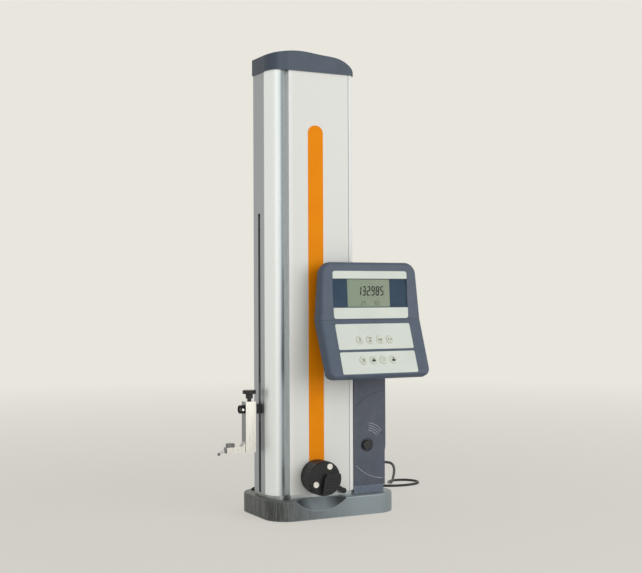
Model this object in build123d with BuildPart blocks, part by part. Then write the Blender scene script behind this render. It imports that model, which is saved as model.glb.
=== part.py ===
"""Electronic height gauge: a measuring carriage driven by a front handwheel runs up a slotted
aluminium column on a cast base, with a tilting control console and a side housing for power and air.

Millimetres. Origin: middle of the base's lapped underside. +X right as seen from the front,
+Y to the back, +Z up.
"""
from build123d import *
from math import cos, pi, radians, sin, tan
import os

os.makedirs("parts", exist_ok=True)

# ---------------------------------------------------------------- driving dimensions
clear = 0.3                 # gap between pieces that move past each other
shaft_clear = 0.05          # radial running clearance of every shaft and pin

# base
base_length, base_depth, base_height = 228.0, 150.0, 32.0
base_corner, base_edge = 38.0, 2.5
scoop_radius, scoop_drop = 68.0, 18.5        # finger scoop under the handwheel

# column extrusion
column_inset, column_setback = 8.0, 22.0     # from the base's left end and front
column_width, column_depth = 148.5, 74.0
column_top = 716.0
column_wall = 3.5
column_round = 15.0                          # left lobe, on the side of the flute
lobe_depth = 25.0                            # left lobe, from front to back
right_round = 10.5                           # right front corner
rear_round = 1.5
flute_depth, flute_width = 7.8, 4.0          # valley between the left lobe and the front panel
groove = 1.2                                 # small dividing grooves
foot_height, foot_inset = 6.0, 1.0
socket_height = 7.0
slot_width, slot_top = 8.4, 489.0
slot_from_back = 23.0                        # slot centre to the column's back

# cap
cap_crown = 32.0
cap_overhang = 2.0

# front stripe and handwheel
stripe_from_left = 77.0                      # stripe middle to the column's left side
stripe_width, stripe_below_top, stripe_thick = 27.0, 86.0, 0.4
wheel_from_left = 74.7                       # wheel axis to the column's left side
wheel_height = 65.8                          # wheel axis above the plate
wheel_radius, wheel_depth = 27.7, 27.5
shaft_radius = 4.0
finger_block_height = 7.0                    # raised quarter of the wheel's front
lever_length, lever_angle = 59.5, -28.7

# drive
belt_pitch_radius, belt_thick, belt_width = 12.0, 1.4, 7.0
idler_below_guide = 34.0                     # idler axis below the guide column's end
flange_radius = 14.0

# guide column, carriage and counterweight
guide_size = 22.0
guide_below_top = 18.0                       # guide column's end below the column's top
guide_from_left = 19.2                       # guide face to the column's left side
scale_width, scale_thick = 9.0, 2.0
roller_radius, roller_width, roller_pin = 4.0, 6.0, 1.5
carriage_below, carriage_above = 23.5, 41.5  # carriage ends from the probe holder's shaft
carriage_wall = 4.5
weight_width, weight_depth, weight_height = 26.0, 22.0, 92.0
weight_bottom = 420.0

# probe holder, placed from the stylus ball
ball_radius, stylus_radius = 2.5, 1.6
ball_height, stylus_out = 103.9, 11.4        # ball centre: above the plate, out from the foot
stylus_rise = 4.1                            # straight part of the stylus above the ball centre
boss_length, boss_depth, boss_height = 8.2, 13.0, 15.0
bar_width, bar_depth, bar_height = 19.3, 17.0, 81.2
shaft_in_bar = 68.9                          # shaft axis above the bar's underside
foot_reach, foot_thick, foot_depth = 32.0, 9.6, 14.0
holder_shaft_radius = 4.0
knob_radius, knob_neck_radius = 10.9, 5.8
ring_radius, ring_length = 6.8, 8.0
clamp_head_radius, clamp_head_height = 7.3, 5.4

# side housing
housing_width, housing_depth = 62.0, 73.0
housing_setback = 5.0                        # behind the column's front panel
housing_top = 330.0
housing_waist = 3.5                          # the lower part is narrower by this
housing_wall = 3.0
plinth_height = 10.0
start_radius = 8.2
field_radius = 73.0                          # round moulded field on the housing's front
louvre_rings = (24.0, 28.0, 32.0, 36.0)      # radii of the louvres round the push button
start_from_left, start_height = 24.2, 109.2
battery_width, battery_depth, battery_height = 44.0, 34.0, 90.0
pump_radius, pump_height, pump_stub = 20.0, 70.0, 4.0

# console
console_width, console_case, console_back = 186.0, 12.0, 8.0
display_length, display_tilt = 92.8, 4.0
keypad_length, keypad_tilt = 95.7, 20.0
console_taper = 6.0
seam_below_top = 13.0                        # seam of the two leaves below the housing's top
seam_reach = 42.0                            # seam in front of the column's front panel
seam_gap = 0.4
console_from_left = 156.0                    # console middle to the column's left side
plate_width, plate_thick, plate_proud = 137.0, 2.0, 0.8
key_radius, key_travel, key_proud = 6.8, 0.8, 1.0
key_pitch, key_shift = 18.3, -1.3
hinge_radius, hinge_boss_radius = 4.0, 8.0
hinge_gap = 14.0                             # hinge axis to the housing's front
bracket_height, bracket_thick = 36.0, 4.0

# cord
cord_radius = 2.3
gland_length, gland_radius = 22.0, 8.0
coil_radius = 26.0                           # middle of the turns
coil_width, coil_height = 13.8, 12.6         # three cords wide, three layers high
pin_radius, pin_length, pin_spacing = 2.0, 17.0, 12.0

# ---------------------------------------------------------------- places worked out from them
base_left, base_front = -base_length / 2, -base_depth / 2
column_left = base_left + column_inset
column_right = column_left + column_width
panel_y = base_front + column_setback
column_back = panel_y + column_depth
column_foot = base_height + foot_height
stripe_top = column_top - stripe_below_top
guide_top = column_top - guide_below_top
idler_height = guide_top - idler_below_guide
slot_y = column_back - slot_from_back
lobe_front = panel_y + 2.0
lobe_x = column_left + column_round
inner_left, inner_right = column_left + column_wall, column_right - column_wall
inner_back = column_back - column_wall
inner_front = panel_y + column_wall
side_groove_y = slot_y - 19.5
wheel_x = column_left + wheel_from_left
stripe_x = column_left + stripe_from_left
guide_x0 = column_left + guide_from_left
guide_x1 = guide_x0 + guide_size
guide_y0, guide_y1 = slot_y - guide_size / 2, slot_y + guide_size / 2
belt_left = wheel_x - belt_pitch_radius
belt_right = wheel_x + belt_pitch_radius
belt_inner = belt_pitch_radius - belt_thick / 2
belt_outer = belt_pitch_radius + belt_thick / 2
drum_radius = belt_inner - 0.2
boss_left = column_left - clear - boss_length
bar_right = boss_left - clear
bar_left = bar_right - bar_width
stylus_z = ball_height + stylus_rise
bar_bottom = stylus_z - 3.4
bar_top = bar_bottom + bar_height
probe_height = bar_bottom + shaft_in_bar     # axis of the probe holder's shaft at rest
carriage_low, carriage_high = probe_height - carriage_below, probe_height + carriage_above
bar_x = (bar_left + bar_right) / 2
housing_x0 = column_right
housing_x1 = housing_x0 + housing_width
housing_front = panel_y + housing_setback
housing_back = housing_front + housing_depth
console_x = column_left + console_from_left
seam_y = panel_y - seam_reach
seam_height = housing_top - seam_below_top
hinge_y = housing_front - hinge_gap
hinge_z = seam_height + 1.0


def column_section(grow=0.0, grooved=False, bridged=False):
    """Outline of the extrusion: a long left lobe, a deep flute (or a bridge over it) and a flat panel."""
    turn = radians(45)
    left, right, front = column_left - grow, column_right + grow, panel_y - grow
    back, flute_y = column_back + grow, panel_y + flute_depth - grow
    panel_x = lobe_x + column_round * sin(turn) + flute_width - grow
    lobe_back = lobe_front + lobe_depth
    tip = (lobe_x, lobe_front - grow)
    reach = column_round + grow
    lobe_end = (lobe_x + reach * sin(turn), lobe_front + column_round - reach * cos(turn))
    right_x, right_y = column_right - right_round, panel_y + right_round
    cut = groove if grooved else 0.0
    with BuildSketch() as section:
        with BuildLine():
            if grooved:
                Polyline((lobe_x, back), (left, back), (left, side_groove_y + cut),
                         (left + cut, side_groove_y), (left, side_groove_y - cut), (left, lobe_back))
            else:
                Polyline((lobe_x, back), (left, back), (left, lobe_back))
            EllipticalCenterArc((lobe_x, lobe_back), reach, lobe_depth + grow, 180, arc_size=90)
            if bridged:
                Polyline(tip, (panel_x, front), (right_x, front))
            else:
                RadiusArc(tip, lobe_end, -reach)
                Polyline(lobe_end, (panel_x - 1.0, flute_y), (panel_x, flute_y), (panel_x, front))
                if grooved:
                    Polyline((panel_x, front), (right_x - cut, front), (right_x, front + cut),
                             (right_x, front))
                else:
                    Line((panel_x, front), (right_x, front))
            RadiusArc((right_x, front), (right, right_y), -(right_round + grow))
            Polyline((right, right_y), (right, back), (lobe_x, back))
        make_face()
    return section.sketch


def column_hollow(shrink=0.0):
    """Inside of the extrusion, stepped back behind the flute."""
    left, right, back = inner_left + shrink, inner_right - shrink, inner_back - shrink
    front = inner_front + shrink
    step_x = lobe_x + column_round + flute_width + column_wall + shrink
    step_y = panel_y + flute_depth + column_wall + shrink
    lobe_bevel, right_bevel = column_round - column_wall, right_round - column_wall
    with BuildSketch() as hollow:
        with BuildLine():
            Polyline((left, back), (left, step_y + lobe_bevel), (left + lobe_bevel, step_y),
                     (step_x, step_y), (step_x, front), (right - right_bevel, front),
                     (right, front + right_bevel), (right, back), close=True)
        make_face()
    return hollow.sketch


def face_plane(tilt, height=0.0, depth=0.0):
    """Plane on a console face: y runs up the face from the seam, z points out of it."""
    out = Vector(0, -cos(radians(tilt)), sin(radians(tilt)))
    up = Vector(0, sin(radians(tilt)), cos(radians(tilt)))
    origin = Vector(console_x, seam_y, seam_height) + up * height - out * depth
    return Plane(origin=origin, x_dir=(1, 0, 0), z_dir=out)


# ---------------------------------------------------------------- base
with BuildPart() as base_casting:
    with BuildSketch():
        RectangleRounded(base_length, base_depth, base_corner)
    extrude(amount=base_height)
    fillet(base_casting.faces().sort_by(Axis.Z)[-1].edges(), base_edge)
    chamfer(base_casting.faces().sort_by(Axis.Z)[0].edges(), 0.8)
    # the finger scoop is part of a ball that runs out where the column stands
    scoop_setout = (scoop_radius ** 2 - (scoop_radius - scoop_drop) ** 2
                    - column_setback ** 2) / (2 * column_setback)
    with Locations((wheel_x, base_front - scoop_setout, base_height - scoop_drop + scoop_radius)):
        Sphere(radius=(scoop_radius ** 2 + scoop_setout ** 2) ** 0.5, mode=Mode.SUBTRACT)
base_casting.part.label = "base_casting"

with BuildPart() as column_plinth:
    with BuildSketch(Plane.XY.offset(base_height)):
        add(column_section(-foot_inset))
    extrude(amount=foot_height)
    # raised socket round the guide column
    with BuildSketch(Plane.XY.offset(column_foot)):
        with Locations(((guide_x0 + guide_x1) / 2, slot_y)):
            Rectangle(guide_size + 14, guide_size + 10)
    extrude(amount=socket_height)
    with BuildSketch(Plane.XY.offset(base_height)):
        with Locations(((guide_x0 + guide_x1) / 2, slot_y)):
            Rectangle(guide_size, guide_size)
        with Locations((wheel_x + 30, slot_y)):
            Rectangle(60, 30)
    extrude(amount=foot_height + socket_height, mode=Mode.SUBTRACT)
column_plinth.part.label = "column_plinth"

# ---------------------------------------------------------------- column
with BuildPart() as column_housing:
    with BuildSketch(Plane.XY.offset(column_foot)):
        add(column_section(grooved=True))
        add(column_hollow(), mode=Mode.SUBTRACT)
    extrude(amount=column_top - column_foot)
    with BuildSketch(Plane.YZ.offset(column_left - 1)):
        with Locations((slot_y, (column_foot + slot_top) / 2)):
            Rectangle(slot_width, slot_top - column_foot)
    extrude(amount=column_wall + 2, mode=Mode.SUBTRACT)
    with Locations(Plane((wheel_x, panel_y, wheel_height), z_dir=(0, -1, 0))):
        Hole(radius=8.0, depth=column_wall + 1)
    rear_corners = column_housing.edges().filter_by(Axis.Z).filter_by_position(
        Axis.Y, column_back - 0.1, column_back + 0.1)
    whole_height = 0.9 * (column_top - column_foot)
    fillet([e for e in rear_corners if e.length > whole_height], rear_round)
column_housing.part.label = "column_housing"

with BuildPart() as front_stripe:
    with BuildSketch(Plane.XZ.offset(-panel_y)):
        with Locations((stripe_x, wheel_height)):
            Rectangle(stripe_width, stripe_top - wheel_height, align=(Align.CENTER, Align.MIN))
        with Locations((wheel_x, wheel_height)):
            Circle(wheel_radius - 1.5, mode=Mode.SUBTRACT)
    extrude(amount=stripe_thick)
    fillet(front_stripe.edges().filter_by(Axis.Y).group_by(Axis.Z)[-1], 0.46 * stripe_width)
front_stripe.part.label = "front_stripe"

with BuildPart() as top_cap:
    with BuildSketch(Plane.XY.offset(column_top)):
        add(column_section(cap_overhang, bridged=True))
    extrude(amount=cap_crown + 1)
    cap_left, cap_right = column_left - cap_overhang, column_right + cap_overhang
    cap_back = column_back + cap_overhang
    fillet(top_cap.edges().filter_by(Axis.Z).filter_by_position(
        Axis.Y, cap_back - 0.1, cap_back + 0.1).filter_by(lambda e: e.length > 30), 4.0)
    # crowned across the front: high over the left, rolling down over the right shoulder
    with BuildSketch(Plane.XZ.offset(-(cap_back + 1))):
        with BuildLine():
            crown = Spline((cap_left - 1, column_top + 0.78 * cap_crown),
                           (cap_left + 24, column_top + 0.93 * cap_crown),
                           (cap_left + 50, column_top + cap_crown),
                           (cap_right - 60, column_top + 0.89 * cap_crown),
                           (cap_right - 25, column_top + 0.72 * cap_crown),
                           (cap_right - 11, column_top + 0.46 * cap_crown),
                           (cap_right + 1, column_top + 0.05 * cap_crown))
            Polyline(crown @ 0, (cap_left - 1, column_top - 1), (cap_right + 1, column_top - 1),
                     crown @ 1)
        make_face()
    extrude(amount=column_depth + 2 * cap_overhang + 2, mode=Mode.INTERSECT)
top_cap.part.label = "top_cap"

# ---------------------------------------------------------------- guide column and its head
with BuildPart() as guide_column:
    with Locations((guide_x0, guide_y0, base_height)):
        Box(guide_size, guide_size, guide_top - base_height, align=(Align.MIN,) * 3)
    chamfer(guide_column.edges().filter_by(Axis.Z), 0.8)
guide_column.part.label = "guide_column"

with BuildPart() as scale_strip:
    with Locations(((guide_x0 + guide_x1) / 2, guide_y0, (column_foot + guide_top) / 2 + 6)):
        Box(scale_width, scale_thick, guide_top - column_foot - 30,
            align=(Align.CENTER, Align.MAX, Align.CENTER))
scale_strip.part.label = "scale_strip"

cheek_y = belt_width / 2 + 1.8
with BuildPart() as column_head:
    with BuildSketch(Plane.XY.offset(guide_top)):
        add(column_hollow(0.4))
    extrude(amount=6.0)
    with BuildSketch(Plane.XY.offset(guide_top)):
        for side in (-1, 1):
            with Locations((wheel_x, slot_y + side * (cheek_y + 2.0))):
                Rectangle(16, 3.6)
    extrude(amount=-(guide_top - idler_height + 7.0))
    with Locations(Plane((wheel_x, slot_y, idler_height), z_dir=(0, -1, 0))):
        Cylinder(radius=3.0, height=2 * cheek_y + 7.6)
column_head.part.label = "column_head"


def pulley(height, bore):
    """Flanged belt pulley about the Y axis, in the belt's plane."""
    with BuildPart() as wheel:
        with BuildSketch(Plane((wheel_x, slot_y, height), x_dir=(1, 0, 0), z_dir=(0, -1, 0))):
            Circle(drum_radius)
            Circle(bore, mode=Mode.SUBTRACT)
        extrude(amount=belt_width / 2 + 0.4, both=True)
        for side in (-1, 1):
            with BuildSketch(Plane((wheel_x, slot_y + side * (belt_width / 2 + 0.4), height),
                                   x_dir=(1, 0, 0), z_dir=(0, side, 0))):
                Circle(flange_radius)
                Circle(bore, mode=Mode.SUBTRACT)
            extrude(amount=1.0)
    return wheel.part


with BuildPart() as idler_pulley:
    add(pulley(idler_height, 3.0 + shaft_clear))
idler_pulley.part.label = "idler_pulley"

with BuildPart() as drive_pulley:
    add(pulley(wheel_height, shaft_radius))
drive_pulley.part.label = "drive_pulley"

with BuildPart() as drive_belt:
    belt_plane = Plane((wheel_x, slot_y, (wheel_height + idler_height) / 2),
                       x_dir=(1, 0, 0), z_dir=(0, -1, 0))
    with BuildSketch(belt_plane):
        SlotCenterToCenter(idler_height - wheel_height, 2 * belt_outer, rotation=90)
        SlotCenterToCenter(idler_height - wheel_height, 2 * belt_inner, rotation=90,
                           mode=Mode.SUBTRACT)
    extrude(amount=belt_width / 2, both=True)
drive_belt.part.label = "drive_belt"

# ---------------------------------------------------------------- handwheel and its drive
collar_thick, lever_thick = 2.6, 3.6
lever_back = panel_y - collar_thick - clear
wheel_back = lever_back - lever_thick - clear
wheel_front = wheel_back - wheel_depth
hub_radius = 8.5
bearing_y = slot_y + belt_width / 2 + 5.0

hub_face = 3.0                               # closed front of the hub
shaft_tip = wheel_front + hub_face
with BuildPart() as drive_shaft:
    with BuildSketch(Plane((wheel_x, shaft_tip, wheel_height), x_dir=(1, 0, 0), z_dir=(0, 1, 0))):
        Circle(shaft_radius)
    extrude(amount=bearing_y + 6.0 - shaft_tip)
drive_shaft.part.label = "drive_shaft"

with BuildPart() as shaft_bush:
    with BuildSketch(Plane((wheel_x, lever_back, wheel_height), x_dir=(1, 0, 0), z_dir=(0, 1, 0))):
        Circle(8.0)
        Circle(shaft_radius + shaft_clear, mode=Mode.SUBTRACT)
    extrude(amount=inner_front - lever_back + 4.0)
    with BuildSketch(Plane.XZ.offset(-panel_y)):
        with Locations((wheel_x, wheel_height)):
            Circle(wheel_radius - 1.5)
            Circle(shaft_radius + shaft_clear, mode=Mode.SUBTRACT)
    extrude(amount=collar_thick)
    with BuildSketch(Plane((wheel_x, lever_back, wheel_height), x_dir=(1, 0, 0), z_dir=(0, -1, 0))):
        Circle(9.0)
        Circle(shaft_radius + shaft_clear, mode=Mode.SUBTRACT)
    extrude(amount=lever_thick)
shaft_bush.part.label = "shaft_bush"

with BuildPart() as shaft_bearing:
    with Locations((wheel_x, bearing_y, column_foot)):
        Box(18, inner_back - bearing_y, wheel_height - column_foot + 9,
            align=(Align.CENTER, Align.MIN, Align.MIN))
    with Locations(Plane((wheel_x, bearing_y, wheel_height), z_dir=(0, -1, 0))):
        Hole(radius=shaft_radius + shaft_clear, depth=6.4)
shaft_bearing.part.label = "shaft_bearing"

with BuildPart() as clamp_lever:
    with BuildSketch(Plane.XZ.offset(-lever_back)):
        with Locations((wheel_x, wheel_height)):
            Circle(15.0)
            Circle(9.0 + shaft_clear, mode=Mode.SUBTRACT)
        with Locations(Location((wheel_x, wheel_height, 0), lever_angle)):
            with Locations((12.0, 0)):
                Rectangle(lever_length - 16.0, 8.0, align=(Align.MIN, Align.CENTER))
            with Locations((lever_length - 4.0, 0)):
                Circle(4.6)
    extrude(amount=lever_thick)
clamp_lever.part.label = "clamp_lever"

web_thick = 5.0
with BuildPart() as handwheel:
    with BuildSketch(Plane.YZ.offset(wheel_x)):
        with BuildLine():
            Polyline((wheel_back, wheel_height + wheel_radius - 4.0),
                     (wheel_back, wheel_height + wheel_radius - 1.0),
                     (wheel_back - 1.0, wheel_height + wheel_radius),
                     (wheel_front + 2.0, wheel_height + wheel_radius),
                     (wheel_front, wheel_height + wheel_radius - 2.0),
                     (wheel_front, wheel_height), (shaft_tip, wheel_height),
                     (shaft_tip, wheel_height + shaft_radius),
                     (wheel_back, wheel_height + shaft_radius),
                     (wheel_back, wheel_height + hub_radius),
                     (wheel_front + web_thick, wheel_height + hub_radius),
                     (wheel_front + web_thick, wheel_height + wheel_radius - 4.0), close=True)
        make_face()
    revolve(axis=Axis((wheel_x, 0, wheel_height), (0, 1, 0)))
    # grip flutes round the rim
    with BuildSketch(Plane((wheel_x, wheel_back, wheel_height), x_dir=(1, 0, 0), z_dir=(0, -1, 0))):
        with PolarLocations(wheel_radius + 1.4, 24):
            Circle(2.0)
    extrude(amount=wheel_depth - 3.0, mode=Mode.SUBTRACT)
    # raised finger block on the lower right quarter, its upper left corner cut off
    with BuildSketch(Plane((wheel_x, wheel_front, wheel_height), x_dir=(1, 0, 0), z_dir=(0, -1, 0))):
        with BuildLine():
            Polyline((-8.0, -wheel_radius), (-3.3, 0.9), (1.5, 7.7), (wheel_radius, 7.0),
                     (wheel_radius, -wheel_radius), close=True)
        make_face()
        Circle(wheel_radius - 2.0, mode=Mode.INTERSECT)
    extrude(amount=finger_block_height)
    chamfer(handwheel.faces().sort_by(Axis.Y)[0].outer_wire().edges(), 0.8)
handwheel.part.label = "handwheel"

stud_spots = [(8.0, 18.6), (-16.3, -8.4)]    # from the wheel's axis
with BuildPart() as wheel_screws:
    with BuildSketch(Plane((wheel_x, wheel_front, wheel_height), x_dir=(1, 0, 0), z_dir=(0, -1, 0))):
        with Locations(*stud_spots):
            Circle(5.0)
    extrude(amount=1.8)
    chamfer(wheel_screws.faces().sort_by(Axis.Y)[:2].edges(), 0.6)
    with BuildSketch(Plane((wheel_x, wheel_front - 1.8, wheel_height),
                           x_dir=(1, 0, 0), z_dir=(0, -1, 0))):
        with Locations(*stud_spots):
            RegularPolygon(2.4, 6)
    extrude(amount=-1.2, mode=Mode.SUBTRACT)
wheel_screws.part.label = "wheel_screws"

# ---------------------------------------------------------------- measuring carriage
carriage_x0 = inner_left + 1.0
carriage_x1 = guide_x1 + 2 * roller_radius + 1.6 + carriage_wall
carriage_y0 = guide_y0 - scale_thick - clear - 1.7 - carriage_wall
carriage_y1 = guide_y1 + 2.2 + carriage_wall
roller_rows = (carriage_low + 9.0, carriage_high - 9.0)
roller_columns = (guide_x0 - 0.2 - roller_radius, guide_x1 + 0.2 + roller_radius)
pin_y0, pin_y1 = carriage_y0, carriage_y1
clamp_z0, clamp_z1 = carriage_high - 30.0, carriage_high - 5.0
clamp_half = belt_width / 2 + 3.5


def belt_clamp(x0, x1, belt_x, z0, z1):
    """Block with a channel that the belt runs in."""
    with BuildPart() as block:
        with Locations((x0, slot_y, z0)):
            Box(x1 - x0, 2 * clamp_half, z1 - z0, align=(Align.MIN, Align.CENTER, Align.MIN))
        with Locations((belt_x, slot_y, z0)):
            Box(belt_thick + 0.6, belt_width + 0.8, z1 - z0,
                align=(Align.CENTER, Align.CENTER, Align.MIN), mode=Mode.SUBTRACT)
    return block.part


with BuildPart() as carriage_frame:
    with BuildSketch(Plane.XY.offset(carriage_low)):
        with BuildLine():
            Polyline((carriage_x0, carriage_y0), (carriage_x1, carriage_y0),
                     (carriage_x1, carriage_y1), (carriage_x0, carriage_y1), close=True)
        make_face()
        with BuildLine():
            Polyline((carriage_x0 + carriage_wall, carriage_y0 + carriage_wall),
                     (carriage_x1 - carriage_wall, carriage_y0 + carriage_wall),
                     (carriage_x1 - carriage_wall, carriage_y1 - carriage_wall),
                     (carriage_x0 + carriage_wall, carriage_y1 - carriage_wall), close=True)
        make_face(mode=Mode.SUBTRACT)
    extrude(amount=carriage_high - carriage_low)
    add(belt_clamp(carriage_x1, belt_left + 4.0, belt_left, clamp_z0, clamp_z1))
    for row in roller_rows:
        for column in roller_columns:
            with Locations(Plane((column, slot_y, row), z_dir=(0, -1, 0))):
                Cylinder(radius=roller_pin, height=60, mode=Mode.SUBTRACT)
    # window for the reading head
    head_x = (guide_x0 + guide_x1) / 2
    with Locations((head_x, carriage_y0, probe_height)):
        Box(13.0, 2 * carriage_wall + 1, 22.0, mode=Mode.SUBTRACT)
carriage_frame.part.label = "carriage_frame"

with BuildPart() as roller_pins:
    for row in roller_rows:
        for column in roller_columns:
            with Locations(Plane((column, (pin_y0 + pin_y1) / 2, row), z_dir=(0, -1, 0))):
                Cylinder(radius=roller_pin, height=pin_y1 - pin_y0)
roller_pins.part.label = "roller_pins"

rollers = []
for number, (column, row) in enumerate(
        [(column, row) for row in roller_rows for column in roller_columns], start=1):
    with BuildPart() as roller:
        with BuildSketch(Plane((column, slot_y, row), x_dir=(1, 0, 0), z_dir=(0, -1, 0))):
            Circle(roller_radius)
            Circle(roller_pin + shaft_clear, mode=Mode.SUBTRACT)
        extrude(amount=roller_width / 2, both=True)
    roller.part.label = f"guide_roller_{number}"
    rollers.append(roller)

with BuildPart() as reading_head:
    with Locations((head_x, guide_y0 - scale_thick - 0.5, probe_height)):
        Box(13.0, carriage_wall + 4.0, 22.0, align=(Align.CENTER, Align.MAX, Align.CENTER))
reading_head.part.label = "reading_head"

neck_height = 16.6
with BuildPart() as carriage_arm:
    with Locations((carriage_x0, slot_y, probe_height)):
        Box(carriage_x0 - boss_left - boss_length, slot_width - 2.0, neck_height,
            align=(Align.MAX, Align.CENTER, Align.CENTER))
    with Locations((boss_left, slot_y, probe_height)):
        Box(boss_length, boss_depth, boss_height, align=(Align.MIN, Align.CENTER, Align.CENTER))
    fillet(carriage_arm.edges().filter_by(Axis.Z).group_by(Axis.X)[0], 2.0)
    with Locations(Plane((boss_left, slot_y, probe_height), z_dir=(-1, 0, 0))):
        Hole(radius=holder_shaft_radius, depth=6.0)
carriage_arm.part.label = "carriage_arm"

ring_right = bar_left - clear
shaft_end = ring_right - ring_length + 2.0
with BuildPart() as holder_shaft:
    with BuildSketch(Plane((boss_left + 6.0, slot_y, probe_height),
                           x_dir=(0, 1, 0), z_dir=(-1, 0, 0))):
        Circle(holder_shaft_radius)
    extrude(amount=boss_left + 6.0 - shaft_end)
holder_shaft.part.label = "holder_shaft"

# ---------------------------------------------------------------- probe holder
bar_front = slot_y - bar_depth / 2
with BuildPart() as probe_holder:
    with BuildSketch(Plane.XZ.offset(-bar_front)):
        with BuildLine():
            Polyline((bar_right, bar_bottom), (bar_right, bar_top), (bar_left, bar_top),
                     (bar_left, bar_bottom + foot_thick + 7), (bar_left - 5, bar_bottom + foot_thick),
                     (bar_left - foot_reach, bar_bottom + foot_thick),
                     (bar_left - foot_reach, bar_bottom), close=True)
        make_face()
    extrude(amount=-bar_depth)
    fillet(probe_holder.edges().filter_by(Axis.Z).filter_by_position(
        Axis.X, bar_right - 0.1, bar_right + 0.1), 1.5)
    # the foot is narrower than the bar
    for side in (-1, 1):
        with Locations((bar_left, slot_y + side * foot_depth / 2, bar_bottom)):
            Box(foot_reach + 1, bar_depth, foot_thick + 12,
                align=(Align.MAX, Align.MIN if side > 0 else Align.MAX, Align.MIN),
                mode=Mode.SUBTRACT)
    with Locations(Plane((bar_x, slot_y, probe_height), z_dir=(1, 0, 0))):
        Cylinder(radius=holder_shaft_radius + shaft_clear, height=bar_width + 2,
                 mode=Mode.SUBTRACT)
    with Locations(Plane((bar_x, slot_y, bar_top), z_dir=(0, 0, 1))):
        Hole(radius=2.5 + shaft_clear, depth=bar_top - probe_height - holder_shaft_radius - 0.5)
    clamp_x = bar_left - foot_reach + clamp_head_radius + 1.0
    with Locations(Plane((clamp_x, slot_y, bar_bottom + foot_thick), z_dir=(0, 0, 1))):
        Hole(radius=2.0 + shaft_clear, depth=3.4)
    with Locations(Plane((bar_left - foot_reach, slot_y, stylus_z), z_dir=(-1, 0, 0))):
        Hole(radius=stylus_radius, depth=16.0)
probe_holder.part.label = "probe_holder"

collar_height = 4.5
knob_base = bar_top + clear
with BuildPart() as clamp_knob:
    with Locations((bar_x, slot_y, probe_height + holder_shaft_radius + 0.9)):
        Cylinder(radius=2.5, height=knob_base - probe_height - holder_shaft_radius,
                 align=(Align.CENTER, Align.CENTER, Align.MIN))
    with BuildSketch(Plane.XZ.offset(-slot_y)):
        with BuildLine():
            Polyline((bar_x, knob_base), (bar_x + 3.4, knob_base),
                     (bar_x + 3.4, knob_base + collar_height),
                     (bar_x + knob_neck_radius, knob_base + collar_height),
                     (bar_x + knob_neck_radius, knob_base + collar_height + 6.6),
                     (bar_x + knob_radius, knob_base + collar_height + 7.6),
                     (bar_x + knob_radius, knob_base + collar_height + 12.6),
                     (bar_x + knob_radius - 1, knob_base + collar_height + 13.4),
                     (bar_x, knob_base + collar_height + 13.4), close=True)
        make_face()
    revolve(axis=Axis((bar_x, slot_y, 0), (0, 0, 1)))
    with BuildSketch(Plane.XY.offset(knob_base + collar_height + 6)):
        with Locations((bar_x, slot_y)):
            with PolarLocations(knob_radius + 0.6, 16):
                Circle(1.2)
    extrude(amount=9, mode=Mode.SUBTRACT)
clamp_knob.part.label = "clamp_knob"

with BuildPart() as ring_nut:
    with BuildSketch(Plane((ring_right, slot_y, probe_height), x_dir=(0, 1, 0), z_dir=(-1, 0, 0))):
        Circle(ring_radius)
        Circle(holder_shaft_radius + shaft_clear, mode=Mode.SUBTRACT)
    extrude(amount=ring_length)
    with BuildSketch(Plane((ring_right - ring_length, slot_y, probe_height),
                           x_dir=(0, 1, 0), z_dir=(1, 0, 0))):
        Circle(holder_shaft_radius + 1.2)
    extrude(amount=1.2, mode=Mode.SUBTRACT)
    chamfer(ring_nut.edges().filter_by(GeomType.CIRCLE).sort_by(SortBy.RADIUS)[-2:], 0.8)
ring_nut.part.label = "ring_nut"

with BuildPart() as insert_screw:
    head_base = bar_bottom + foot_thick + clear
    with Locations((clamp_x, slot_y, head_base)):
        Cylinder(radius=clamp_head_radius, height=clamp_head_height,
                 align=(Align.CENTER, Align.CENTER, Align.MIN))
    with Locations((clamp_x, slot_y, head_base)):
        Cylinder(radius=2.0, height=3.4, align=(Align.CENTER, Align.CENTER, Align.MAX))
    chamfer(insert_screw.edges().filter_by(GeomType.CIRCLE).group_by(Axis.Z)[-1], 0.8)
    with Locations((clamp_x, slot_y, head_base + clamp_head_height)):
        Box(2 * clamp_head_radius + 1, 1.6, 1.8, align=(Align.CENTER, Align.CENTER, Align.MAX),
            mode=Mode.SUBTRACT)
insert_screw.part.label = "insert_screw"

stylus_exit = bar_left - foot_reach
with BuildPart() as stylus:
    ball = (stylus_exit - stylus_out, slot_y, ball_height)
    knee = (ball[0] + 1.45 * (stylus_z - ball_height), slot_y, stylus_z)
    with BuildLine():
        stem = FilletPolyline((stylus_exit + 15.8, slot_y, stylus_z), knee, ball, radius=5.0)
    with BuildSketch(Plane(origin=stem @ 0, z_dir=stem % 0)):
        Circle(stylus_radius)
    sweep()
    with BuildSketch(Plane(origin=ball, x_dir=stem % 1, z_dir=(0, 1, 0))):
        Circle(ball_radius)
        Rectangle(2 * ball_radius + 1, ball_radius + 1, align=(Align.CENTER, Align.MAX),
                  mode=Mode.SUBTRACT)
    revolve(axis=Axis(ball, stem % 1))
stylus.part.label = "stylus"

# ---------------------------------------------------------------- counterweight
weight_x0 = belt_right + 5.0
with BuildPart() as counterweight:
    with Locations((weight_x0, slot_y, weight_bottom)):
        Box(weight_width, weight_depth, weight_height,
            align=(Align.MIN, Align.CENTER, Align.MIN))
    chamfer(counterweight.edges().filter_by(Axis.Z), 1.5)
    add(belt_clamp(belt_right - 4.0, weight_x0 + 0.01, belt_right,
                   weight_bottom + weight_height - 22, weight_bottom + weight_height - 2))
counterweight.part.label = "counterweight"

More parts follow.
